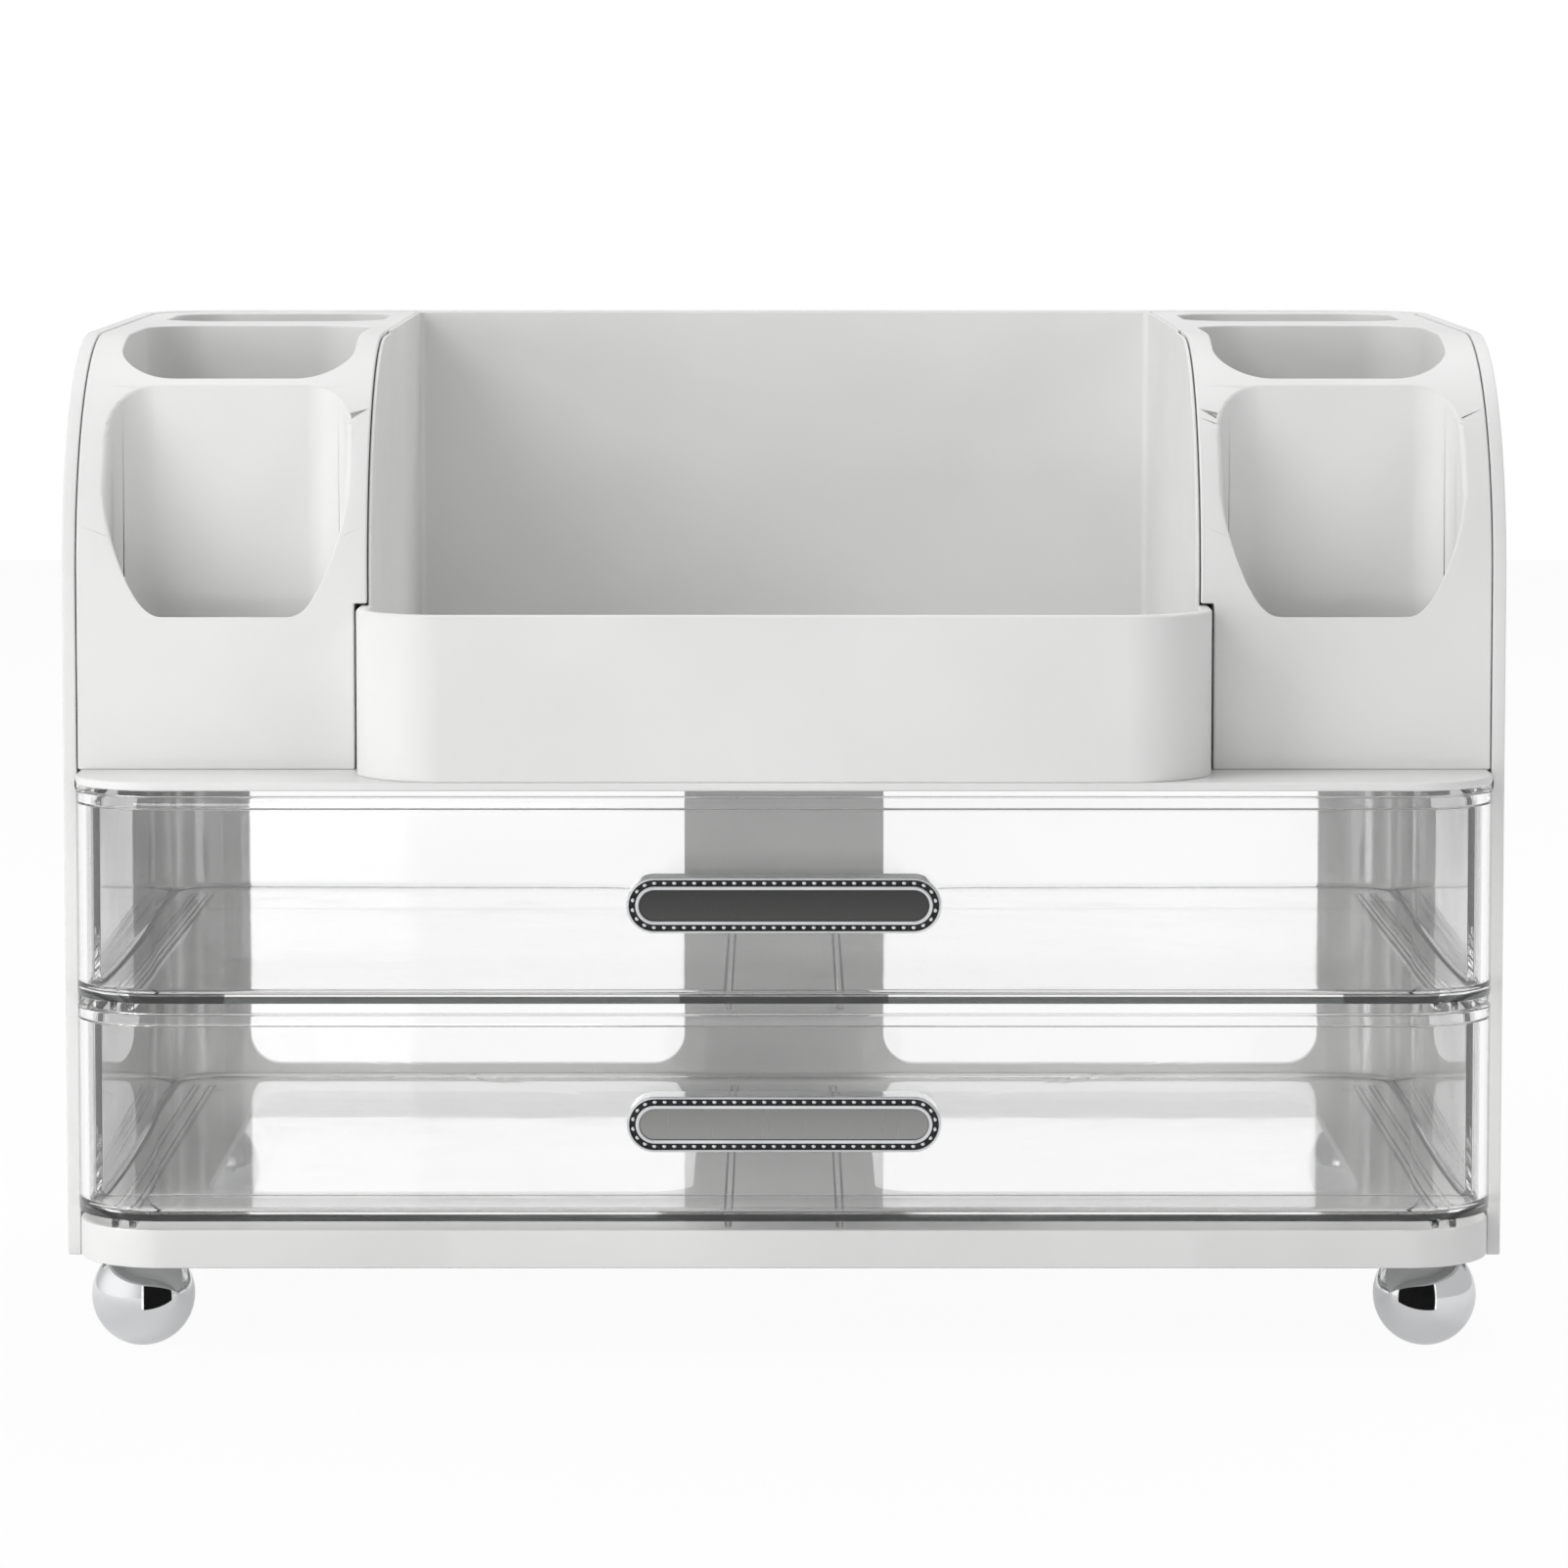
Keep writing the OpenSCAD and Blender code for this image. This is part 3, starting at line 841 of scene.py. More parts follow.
@dataclass(frozen=True)
class Base:
    """The white base plate: a thin top on a skirt, with two cut-outs, foot bosses and peg holes."""

    plate: Block = Block(-160.8, 160.8, behind(0.0), behind(206.0), 22.101, 30.901)
    front_r: float = 20.0
    back_r: float = 15.8
    skirt: float = 2.4
    top_t: float = 2.5
    cutout: Block = Block(21.4, 134.5, behind(41.0), behind(183.0), 20.0, 34.0)
    cutout_r: float = 10.0
    foot_x: float = 147.4
    foot_depths: tuple[float, float] = (25.0, 185.0)
    boss_r: float = 6.5
    boss_foot: float = 22.601
    head_r: float = 3.5
    head_z: float = 28.801
    hole_r: float = 2.0
    peg_z: float = 26.501
    peg_hole_r: float = 2.05
    peg_depths: tuple[float, float] = (52.0, 165.0)
    peg_x: float = 82.75
    round_steps: int = 48
    edge: float = 0.5

    def build(self) -> None:
        """Models and dresses the base plate."""
        plate = self.plate
        under = plate.z1 - self.top_t
        piece = add_rounded("base", plate, self.front_r, self.back_r)
        inner = Block(plate.x0 + self.skirt, plate.x1 - self.skirt, plate.y0 + self.skirt,
                      plate.y1 - self.skirt, plate.z0 - 5.0, under)
        hollow = add_rounded("hollow", inner, self.front_r - self.skirt, self.back_r - self.skirt)
        combine(piece, hollow, Combine.CUT)
        # A boss, the screw head's seat over it and the screw's hole through both
        bars = ((self.boss_r, self.boss_foot, under + 1.0, Combine.ADD),
                (self.head_r, self.head_z, plate.z1 + 2.0, Combine.CUT),
                (self.hole_r, 20.0, plate.z1 - 1.0, Combine.CUT))
        for side in Side:
            for depth in self.foot_depths:
                x, y = side.value * self.foot_x, behind(depth)
                for radius, low, high, how in bars:
                    bar = add_bar(Vector((x, y, low)), Vector((x, y, high)), radius,
                                  self.round_steps)
                    combine(piece, bar, how)
            opening = self.cutout.on_side(side)
            combine(piece, add_rounded("cutter", opening, self.cutout_r, self.cutout_r),
                    Combine.CUT)
            pegs = [(side.value * (plate.x1 - self.skirt / 2), behind(depth), self.skirt, 0.0)
                    for depth in self.peg_depths]
            pegs.append((side.value * self.peg_x, plate.y1 - self.skirt / 2, 0.0, self.skirt))
            for x, y, along_x, along_y in pegs:
                spot, reach = Vector((x, y, self.peg_z)), Vector((along_x, along_y, 0.0))
                combine(piece, add_bar(spot - reach, spot + reach, self.peg_hole_r), Combine.CUT)
        merge_close(piece)
        soften(piece, self.edge)
        dress_white(piece, "base_plate")


@dataclass(frozen=True)
class SidePanel:
    """A white side panel with the crown profile, the shelf's ledge, and pads and pegs below."""

    side: Side
    sheet: Block = Block(162.0, 165.0, CROWN.front, behind(189.75), 20.001, CROWN.top)
    ledge: Block = Block(156.0, 162.1, behind(27.0), behind(150.7), 127.901, 130.401)
    peg_depths: tuple[float, float] = (52.0, 165.0)
    peg_z: float = 26.501
    pad_x: float = 160.8
    pad_r: float = 3.6
    peg_x: float = 157.4
    peg_r: float = 2.0
    edge: float = 0.45

    def build(self) -> None:
        """Models and dresses the panel."""
        piece = CROWN.shape(f"panel_{self.side.word}", self.sheet, 0.0)
        combine(piece, add_block("ledge", self.ledge), Combine.ADD)
        for depth in self.peg_depths:
            end = Vector((self.sheet.x0 + SINK, behind(depth), self.peg_z))
            for start, radius in ((self.pad_x, self.pad_r), (self.peg_x, self.peg_r)):
                bar = add_bar(Vector((start, behind(depth), self.peg_z)), end, radius)
                combine(piece, bar, Combine.ADD)
        if self.side is Side.LEFT:
            turn_left(piece)
        merge_close(piece)
        soften(piece, self.edge)
        dress_white(piece, f"side_panel_{self.side.word}")


@dataclass(frozen=True)
class BackShell:
    """The back with its two round corners, side wings inside the panels, and two windows."""

    outer: Block = Block(-165.0, 165.0, behind(190.0), behind(210.0), 20.001, 236.0)
    outer_r: float = 20.0
    inner: Block = Block(-162.0, 162.0, behind(150.0), behind(207.2), 10.0, 250.0)
    inner_r: float = 17.0
    corner_steps: int = 32
    window: Block = Block(26.0, 139.5, behind(205.0), behind(212.0), 36.001, 120.001)
    window_r: float = 8.0
    window_steps: int = 16
    wing: Block = Block(159.8, 162.05, behind(151.0), behind(195.2), 31.201, 130.401)
    peg_x: float = 82.75
    peg_z: float = 26.501
    # Radius and first depth of the pad, then of the peg
    bars: tuple[tuple[float, float], ...] = ((3.6, 206.0), (2.0, 202.6))
    edge: float = 0.45

    def build(self) -> None:
        """Models and dresses the shell."""
        piece = add_rounded("back", self.outer, 0.0, self.outer_r, self.corner_steps)
        merge_close(piece)
        crest = Vector((0.0, CROWN.centre_y, CROWN.top))
        slope = math.atan2(CROWN.rise, CROWN.back - CROWN.centre_y)
        slice_off(piece, crest, Vector((0.0, -math.sin(slope), math.cos(slope))))
        combine(piece, add_rounded("hollow", self.inner, 0.0, self.inner_r, self.corner_steps),
                Combine.CUT)
        for side in Side:
            combine(piece, add_block("wing", self.wing.on_side(side)), Combine.ADD)
            for radius, start in self.bars:
                spot = Vector((side.value * self.peg_x, behind(start), self.peg_z))
                end = Vector((spot.x, self.inner.y1 + SINK, self.peg_z))
                combine(piece, add_bar(spot, end, radius), Combine.ADD)
            combine(piece, self.opening(side), Combine.CUT)
        merge_close(piece)
        soften(piece, self.edge)
        dress_white(piece, "back_shell")

    def opening(self, side: Side) -> Piece:
        """The shape that cuts one window.

        Args:
            side: the window's side.

        Returns:
            The cutter.
        """
        block = self.window.on_side(side)
        cutter = add_block("window", block)
        for x in (block.x0, block.x1):
            for z in (block.z0, block.z1):
                round_edges(cutter, self.window_r, self.window_steps, edge_at(x=x, z=z))
        return cutter


@dataclass(frozen=True)
class Shelf:
    """The white shelf under the tray and the brush holders."""

    plate: Block = Block(-161.2, 161.2, behind(0.0), behind(206.4), 130.401, 132.401)
    front_r: float = 20.0
    back_r: float = 16.2
    edge: float = 0.5

    def build(self) -> None:
        """Models and dresses the shelf."""
        piece = add_rounded("shelf", self.plate, self.front_r, self.back_r)
        soften(piece, self.edge, 3)
        dress_white(piece, "shelf_plate")


@dataclass(frozen=True)
class Rail:
    """A rail inside a side panel that carries the upper drawer."""

    side: Side
    bar: Block = Block(149.3, 162.0, behind(30.0), behind(181.0), 66.401, 80.401)
    under: Block = Block(140.0, 160.2, behind(20.0), behind(190.0), 60.0, 78.401)
    beyond: Block = Block(159.5, 170.0, behind(150.7), behind(190.0), 60.0, 90.0)
    edge: float = 0.4

    def build(self) -> None:
        """Models and dresses the rail."""
        piece = add_block(f"rail_{self.side.word}", self.bar)
        for spare in (self.under, self.beyond):
            combine(piece, add_block("spare", spare), Combine.CUT)
        if self.side is Side.LEFT:
            turn_left(piece)
        soften(piece, self.edge)
        dress_white(piece, f"drawer_rail_{self.side.word}")


@dataclass(frozen=True)
class BrushHolder:
    """A solid white holder with a sloped front well and two deep wells behind it."""

    side: Side
    outer: Block = Block(95.3, 161.75, behind(27.25), behind(206.9), 132.401, 0.0)
    inset: float = 0.25
    back_r: float = 16.75
    # The lower part beside the tray's low wall is narrower
    step: Block = Block(90.3, 98.3, behind(0.0), behind(230.0), 100.0, 170.501)
    well_x: tuple[float, float] = (100.5, 154.8)
    front_x: tuple[float, float] = (100.6, 155.3)
    floor_z: float = 135.001
    well_r: float = 13.0
    front_end: float = 49.3
    front_back_r: float = 10.0
    slope: float = 17.0
    lip_z: float = 168.301
    lip_depth: float = 27.25
    middle: tuple[float, float] = (51.8, 124.8)
    back: tuple[float, float] = (148.0, 197.0)
    floor_fillet: float = 2.5
    fillet_steps: int = 6
    lip_round: float = 1.4
    corner_steps: int = 24
    slope_steps: int = 32
    overlap: float = 0.05
    # An edge of the slope that rises more than this is one of its upright ones
    tall: float = 50.0
    edge: float = 0.45

    def build(self) -> None:
        """Models and dresses the holder."""
        piece = CROWN.shape(f"holder_{self.side.word}", self.outer, self.inset)
        round_edges(piece, self.back_r, self.corner_steps,
                    edge_at(x=self.outer.x1, y=self.outer.y1))
        combine(piece, add_block("step", self.step), Combine.CUT)
        for depths in (self.middle, self.back):
            combine(piece, self.deep_well(*depths), Combine.CUT)
        combine(piece, self.front_well(), Combine.CUT)
        merge_close(piece, 0.05)
        if self.side is Side.LEFT:
            turn_left(piece)
        soften(piece, self.edge, 3, wide=self.lip_round, lip=self.on_lip)
        dress_white(piece, f"brush_holder_{self.side.word}")

    def deep_well(self, start: float, end: float) -> Piece:
        """The shape that cuts an upright well.

        Args:
            start: the depth where the well starts.
            end: the depth where it ends.

        Returns:
            The cutter, with its foot rounded, which leaves a fillet in the well.
        """
        block = Block(*self.well_x, behind(start), behind(end), self.floor_z, ABOVE)
        cutter = add_rounded("well", block, self.well_r, self.well_r)
        round_edges(cutter, self.floor_fillet, self.fillet_steps, edge_at(z=self.floor_z))
        return cutter

    def front_well(self) -> Piece:
        """The shape that cuts the front well: upright walls, met by a sloping front wall."""
        low = self.floor_z - 20.0
        lean = math.tan(math.radians(self.slope))
        foot = self.lip_depth + (self.lip_z - low) * lean
        leaning = Block(self.front_x[0] - self.overlap, self.front_x[1] + self.overlap,
                        behind(foot), behind(120.0), low, ABOVE)
        slope = add_block("slope", leaning)
        with editing(slope, Element.VERTEX) as mesh:
            pick(slope, mesh.verts, lambda vert: near(vert.co.y / MM, leaning.y0)
                 and near(vert.co.z / MM, ABOVE))
            bpy.ops.transform.translate(value=(0.0, -(ABOVE - low) * lean * MM, 0.0))
        upright = Block(*self.front_x, behind(-30.0), behind(self.front_end), self.floor_z,
                        ABOVE - 1.0)
        cutter = add_rounded("well", upright, 0.0, self.front_back_r, self.corner_steps)
        front = leaning.y0 - 1.0
        for x in (leaning.x0, leaning.x1):
            round_edges(slope, self.well_r, self.slope_steps,
                        lambda a, b: near(a.x, x) and near(b.x, x) and min(a.y, b.y) < front
                        and abs(a.z - b.z) > self.tall)
        combine(cutter, slope, Combine.SHARE)
        return cutter

    def on_lip(self, first: Vector, second: Vector) -> float | None:
        """Says how much of the lip's rounding an edge gets, less up to the well's back wall.

        Args:
            first: one end of the edge, in millimetres.
            second: its other end.

        Returns:
            The share, 0 for the well floor's edges, or None for an edge off the lip.
        """
        if near(first.z, self.floor_z) and near(second.z, self.floor_z):
            return 0.0
        low, high = self.front_x
        end = behind(self.front_end)
        for point in (first, second):
            if not (low - ABOUT < abs(point.x) < high + ABOUT and point.z > self.lip_z - 1.0
                    and point.y < end + ABOUT and CROWN.on_skin(point, self.inset)):
                return None
        least = self.edge / self.lip_round
        left = (end - (first.y + second.y) / 2) / self.front_back_r
        return min(1.0, least + (1.0 - least) * left)


@dataclass(frozen=True)
class Tray:
    """The open tray between the holders: a low front lip, and tall walls behind the shoulder."""

    low: Block = Block(-97.2, 97.2, behind(0.0), behind(206.9), 132.401, 170.001)
    front_r: float = 20.0
    back_r: float = 1.6
    corner_steps: int = 32
    tall_x: float = 95.0
    front_inset: float = 1.05
    inset: float = 0.25
    notch: float = 98.0
    pocket: Block = Block(-94.2, 94.2, behind(2.5), behind(204.4), 134.601, ABOVE)
    pocket_r: float = 17.5
    floor_fillet: float = 1.2
    fillet_steps: int = 4
    lip_round: float = 0.9
    edge: float = 0.3

    def build(self) -> None:
        """Models and dresses the tray."""
        piece = add_rounded("tray", self.low, self.front_r, self.back_r, self.corner_steps)
        walls = Block(-self.tall_x, self.tall_x, 0.0, self.low.y1, 140.0, 0.0)
        tall = CROWN.shape("tall", walls, self.inset)
        notch = add_block("notch", Block(-110.0, 110.0, behind(0.0), behind(self.notch), 150.0,
                                         ABOVE))
        kept = CROWN.shape("kept", Block(-120.0, 120.0, 0.0, behind(150.0), 120.0, 0.0),
                           self.front_inset)
        combine(notch, kept, Combine.CUT)
        combine(tall, notch, Combine.CUT)
        combine(piece, tall, Combine.ADD)
        hollow = add_rounded("hollow", self.pocket, self.pocket_r, self.back_r, self.corner_steps)
        round_edges(hollow, self.floor_fillet, self.fillet_steps, edge_at(z=self.pocket.z0))
        combine(piece, hollow, Combine.CUT)
        merge_close(piece)
        soften(piece, self.edge, 3, wide=self.lip_round, lip=self.on_lip, split=True)
        dress_white(piece, "front_tray")

    def on_lip(self, first: Vector, second: Vector) -> float | None:
        """Gives 1 for an edge on the low wall's top, along the front and its corners.

        Args:
            first: one end of the edge, in millimetres.
            second: its other end.

        Returns:
            1, or None for any other edge.
        """
        back = behind(self.front_r + ABOUT)
        on_top = all(near(point.z, self.low.z1) and point.y < back for point in (first, second))
        return 1.0 if on_top else None


@dataclass(frozen=True)
class Drawer:
    """A clear drawer: one moulding with a wide front, a narrower box and runner ribs below."""

    level: Level
    foot_z: float
    height: float
    deck_x: float = 161.2
    box_x: float = 159.0
    head: float = 25.5
    length: float = 195.0
    front_r: float = 20.0
    back_r: float = 14.0
    corner_steps: int = 32
    wall: float = 2.2
    floor: float = 1.8
    side_drop: float = 3.0
    rim_h: float = 2.8
    rim_extra: float = 1.2
    rib: float = 1.6
    rib_xs: tuple[float, float, float] = (12.6, 147.0, 151.0)
    rib_end: float = 181.0
    floor_fillet: float = 1.5
    fillet_steps: int = 5
    screw_x: float = 24.0
    screw_hole_r: float = 1.7
    edge: float = 0.3

    @property
    def top(self) -> float:
        """The height of the front's top edge."""
        return self.foot_z + self.height

    def build(self) -> None:
        """Models and dresses the drawer."""
        front = Block(-self.deck_x, self.deck_x, behind(0.0), behind(self.head), self.foot_z,
                      self.top)
        piece = add_rounded(f"tub_{self.level.word}", front, self.front_r, 0.0, self.corner_steps)
        rear = Block(-self.box_x, self.box_x, behind(self.front_r + 1.5), behind(self.length),
                     self.foot_z, self.top - self.side_drop)
        combine(piece, add_rounded("box", rear, 0.0, self.back_r), Combine.ADD)
        for hollow in self.hollows():
            combine(piece, hollow, Combine.CUT)
        for x in self.rib_xs:
            for side in Side:
                middle = side.value * x
                rib = Block(middle - self.rib / 2, middle + self.rib / 2, behind(1.0),
                            behind(self.rib_end), self.foot_z - self.rib, self.foot_z + SINK)
                combine(piece, add_block("rib", rib), Combine.ADD)
        through = Vector((0.0, self.wall + 3.0, 0.0))
        for side in Side:
            spot = Vector((side.value * self.screw_x, behind(-1.0), self.foot_z + self.height / 2))
            combine(piece, add_bar(spot, spot + through, self.screw_hole_r), Combine.CUT)
        merge_close(piece)
        self.mark_edge_painted_shade(piece)
        soften(piece, self.edge, split=True)
        Dress(CLEAR, "clear_polystyrene", self.level.value,
              (f"drawer_{self.level.word}",)).put_on(piece)

    def mark_edge_painted_shade(self, piece: Piece) -> None:
        """Gives the floor's outer edge a dark tint, painted shade for the dark band of a thick
        clear edge, all round the front and its corners.

        Args:
            piece: the drawer, still with sharp edges.
        """
        line = self.foot_z + self.floor - ABOUT
        with editing(piece, Element.VERTEX, whole=True):
            bpy.ops.mesh.bisect(plane_co=(0.0, 0.0, line * MM), plane_no=(0.0, 0.0, 1.0),
                                threshold=MM * TOUCH / 10)
        for finish in (CLEAR, CLEAR_EDGE_PAINTED_SHADE):
            piece.data.materials.append(finish.material())
        for face in piece.data.polygons:
            at = face.center / MM
            outside = at.y < behind(self.head) and abs(face.normal.z) < ACROSS and (
                face.normal.y < -0.01 or abs(at.x) > self.deck_x - ABOUT)
            # These outer faces of the floor's edge get the painted shade
            if outside and self.foot_z < at.z < line:
                face.material_index = 1

    def hollows(self) -> Iterator[Piece]:
        """The shapes that hollow the drawer: the wide front, the box behind it, the open mouth."""
        low = self.foot_z + self.floor
        wide = Block(-self.box_x, self.box_x, behind(self.wall), behind(self.head - self.wall),
                     low, self.top - self.rim_h)
        front = add_rounded("front_pocket", wide, self.front_r - self.wall, 0.0,
                            self.corner_steps)
        on_floor = edge_at(z=low)
        round_edges(front, self.floor_fillet, self.fillet_steps,
                    lambda a, b: on_floor(a, b) and min(a.y, b.y) < wide.y1 - ABOUT)
        yield front
        inner_x = self.box_x - self.wall
        deep = Block(-inner_x, inner_x, behind(self.front_r - 2.0),
                     behind(self.length - self.wall), low, self.top + 5.0)
        rear = add_rounded("rear_pocket", deep, 0.0, self.back_r - self.wall)
        round_edges(rear, self.floor_fillet, self.fillet_steps,
                    lambda a, b: on_floor(a, b) and max(a.y, b.y) > deep.y0 + ABOUT)
        yield rear
        mouth_x = self.box_x - self.rim_extra
        mouth = Block(-mouth_x, mouth_x, behind(self.wall + self.rim_extra),
                      behind(self.head + 2.0), self.top - self.rim_h - 0.05, self.top + 6.0)
        yield add_rounded("mouth", mouth, self.front_r - self.wall - self.rim_extra, 0.0,
                          self.corner_steps)


@dataclass(frozen=True)
class Handle:
    """A bright bezel with a beaded groove and a smoked strip, screwed to a drawer."""

    level: Level
    centre_z: float
    strip: SmokedStripPaintedReflection
    width: float = 70.4
    height: float = 12.5
    reach: float = 8.0
    outer_rim: float = 0.55
    groove: float = 1.4
    groove_deep: float = 0.8
    inner_rim: float = 0.8
    pocket: float = 1.4
    strip_t: float = 1.0
    bead_inset: float = 1.25
    bead_r: float = 0.66
    beads: int = 66
    bead_steps: tuple[int, int] = (12, 8)
    end_steps: int = 20
    screw_x: float = 24.0
    screw_r: float = 1.5
    screw_deep: float = 6.0
    # Round the screws and round the strip
    play: float = 0.05
    edge: float = 0.12
    strip_edge: float = 0.15
    outer_round: float = 0.42

    @property
    def face_y(self) -> float:
        """The place of the bezel's front face."""
        return behind(-self.reach)

    def stadium(self, name: str, inset: float, y0: float, y1: float) -> Piece:
        """Makes a block with round ends.

        Args:
            name: the new object's name.
            inset: how far it is set in from the handle's outline.
            y0: its front.
            y1: its back.

        Returns:
            The new object.
        """
        width, height = self.width - 2 * inset, self.height - 2 * inset
        block = Block(-width / 2, width / 2, y0, y1, self.centre_z - height / 2,
                      self.centre_z + height / 2)
        piece = add_block(name, block)
        for x in (block.x0, block.x1):
            for z in (block.z0, block.z1):
                round_edges(piece, height / 2, self.end_steps, edge_at(x=x, z=z))
        merge_close(piece)
        return piece

    def build(self) -> None:
        """Models and dresses the bezel, its beads and the strip."""
        word, body = self.level.word, self.level.value
        bezel = self.stadium(f"handle_{word}", 0.0, self.face_y, behind(0.0))
        for finish in (BEZEL_PLATE, RECESS):
            bezel.data.materials.append(finish.material())
        with editing(bezel, Element.FACE) as mesh:
            pick(bezel, mesh.faces, lambda face: face.normal.y < -ALONG
                 and near(face.calc_center_median().y / MM, self.face_y))
            for rim, deep in ((self.outer_rim, self.groove_deep), (self.groove, -self.groove_deep),
                              (self.inner_rim, self.pocket)):
                bpy.ops.mesh.inset(thickness=rim * MM)
                bpy.ops.mesh.extrude_region_move(
                    TRANSFORM_OT_translate={"value": (0.0, deep * MM, 0.0)})
        self.blacken(bezel)
        into = Vector((0.0, self.screw_deep + 1.05, 0.0))
        for side in Side:
            spot = Vector((side.value * self.screw_x, behind(1.0), self.centre_z))
            combine(bezel, add_bar(spot, spot - into, self.screw_r + self.play), Combine.CUT)
        soften(bezel, self.edge, wide=self.outer_round, lip=self.on_outer_edge)
        self.add_beads(bezel)
        Dress(BEZEL_PLATE, "plated_bezel", body, (f"handle_bezel_{word}",)).put_on(bezel)
        rim = self.outer_rim + self.groove + self.inner_rim + self.play
        back = self.face_y + self.pocket
        strip = self.stadium(f"handle_strip_{word}", rim, back - self.strip_t, back)
        soften(strip, self.strip_edge)
        Dress(self.strip, "smoked_insert", body, (f"handle_insert_{word}",)).put_on(strip)

    def on_outer_edge(self, first: Vector, second: Vector) -> float | None:
        """Gives 1 for an edge on the outer rim of the front face.

        Args:
            first: one end of the edge, in millimetres.
            second: its other end.

        Returns:
            1, or None for any other edge.
        """
        for point in (first, second):
            along = max(abs(point.x) - (self.width - self.height) / 2, 0.0)
            away = math.hypot(along, point.z - self.centre_z)
            if not near(point.y, self.face_y) or away < self.height / 2 - 0.05:
                return None
        return 1.0

    def blacken(self, bezel: Piece) -> None:
        """Gives the groove's floor and walls the black finish.

        Args:
            bezel: the bezel, still with sharp edges.
        """
        floor = self.face_y + self.groove_deep
        for face in bezel.data.polygons:
            at = face.center / MM
            on_floor = near(at.y, floor) and face.normal.y < -ALONG
            on_wall = near(at.y, (floor + self.face_y) / 2) and abs(face.normal.y) < ACROSS
            face.material_index = 1 if on_floor or on_wall else 0

    def bead_places(self) -> Iterator[Vector]:
        """The beads' centres, evenly round the groove."""
        height = self.height - 2 * self.bead_inset
        run = self.width - 2 * self.bead_inset - height
        bend = math.pi * height / 2
        y = self.face_y + self.groove_deep
        for number in range(self.beads):
            way = number / self.beads * 2 * (run + bend)
            if way < run:
                x, z = way - run / 2, height / 2
            elif way < run + bend:
                turn = math.pi / 2 - (way - run) / height * 2
                x, z = run / 2 + math.cos(turn) * height / 2, math.sin(turn) * height / 2
            elif way < 2 * run + bend:
                x, z = run / 2 - (way - run - bend), -height / 2
            else:
                turn = math.pi * 1.5 - (way - 2 * run - bend) / height * 2
                x, z = -run / 2 + math.cos(turn) * height / 2, math.sin(turn) * height / 2
            yield Vector((x, y, self.centre_z + z))

    def add_beads(self, bezel: Piece) -> None:
        """Models one bead, copies it round the groove and joins all to the bezel.

        Args:
            bezel: the finished bezel.
        """
        bpy.ops.object.select_all(action="DESELECT")
        segments, rings = self.bead_steps
        bpy.ops.mesh.primitive_uv_sphere_add(segments=segments, ring_count=rings,
                                             radius=self.bead_r * MM)
        bead = settle("bead")
        bpy.ops.object.shade_smooth()
        bead.data.materials.append(BEZEL_PLATE.material())
        copies = []
        for place in self.bead_places():
            copy = bead.copy()
            copy.data = bead.data.copy()
            copy.location = place * MM
            bpy.context.collection.objects.link(copy)
            copies.append(copy)
        bpy.data.objects.remove(bead, do_unlink=True)
        select_only(bezel)
        for copy in copies:
            copy.select_set(True)
        bpy.ops.object.join()


@dataclass(frozen=True)
class Feet:
    """Four polished ball feet, flat where they stand and where they meet the base."""

    centre_x: float = 147.4
    places: tuple[tuple[str, float], tuple[str, float]] = (("front", 25.0), ("back", 185.0))
    radius: float = 11.8
    centre_z: float = 11.5
    top_z: float = 22.601
    screw_r: float = 1.85
    screw_z: float = 14.551
    steps: tuple[int, int] = (96, 48)

    def build(self) -> None:
        """Models and dresses the feet."""
        for place, depth in self.places:
            for side in Side:
                self.ball(f"{place}_{side.word}", side, depth)

    def ball(self, word: str, side: Side, depth: float) -> None:
        """Models and dresses one foot.

        Args:
            word: its place, for its name.
            side: its side.
            depth: how far its centre is behind the drawer fronts.
        """
        spot = Vector((side.value * self.centre_x, behind(depth), self.centre_z))
        bpy.ops.object.select_all(action="DESELECT")
        segments, rings = self.steps
        bpy.ops.mesh.primitive_uv_sphere_add(segments=segments, ring_count=rings,
                                             radius=self.radius * MM, location=spot * MM)
        piece = settle(f"ball_{word}")
        for height, way in ((0.0, -1.0), (self.top_z, 1.0)):
            slice_off(piece, Vector((0.0, 0.0, height)), Vector((0.0, 0.0, way)))
        hole = add_bar(Vector((spot.x, spot.y, self.screw_z)),
                       Vector((spot.x, spot.y, self.top_z + 2.0)), self.screw_r)
        combine(piece, hole, Combine.CUT)
        soften(piece, 0.0, angle=30.0)
        Dress(BALL_PLATE, "chrome_ball", CASE, (f"foot_{word}",)).put_on(piece)


@dataclass(frozen=True)
class Screws:
    """The screws keep their exact shapes and get a zinc finish."""

    nodes: tuple[str, ...] = ("foot_screws", "handle_screws_upper", "handle_screws_lower")

    def build(self) -> None:
        """Dresses the screws."""
        for name in self.nodes:
            for slot in bpy.data.objects[name].material_slots:
                slot.material = SCREW_STEEL.material()
            LOG.info("%s: zinc finish on the exact shape", name)


@dataclass(frozen=True)
class Lamp:
    """A soft lamp: its place, what it points at and its size in metres, and its power in watts."""

    name: str
    place: Spot
    aim: Spot
    size: tuple[float, float]
    power: float

    def add(self) -> None:
        """Hangs the lamp, out of sight of polished surfaces."""
        way = Vector(self.aim) - Vector(self.place)
        bpy.ops.object.select_all(action="DESELECT")
        bpy.ops.object.light_add(type="AREA", location=self.place,
                                 rotation=way.to_track_quat("-Z", "Y").to_euler())
        lamp = bpy.context.active_object
        lamp.name = self.name
        lamp.data.shape = "RECTANGLE"
        lamp.data.size, lamp.data.size_y = self.size
        lamp.data.energy = self.power
        lamp.visible_glossy = False


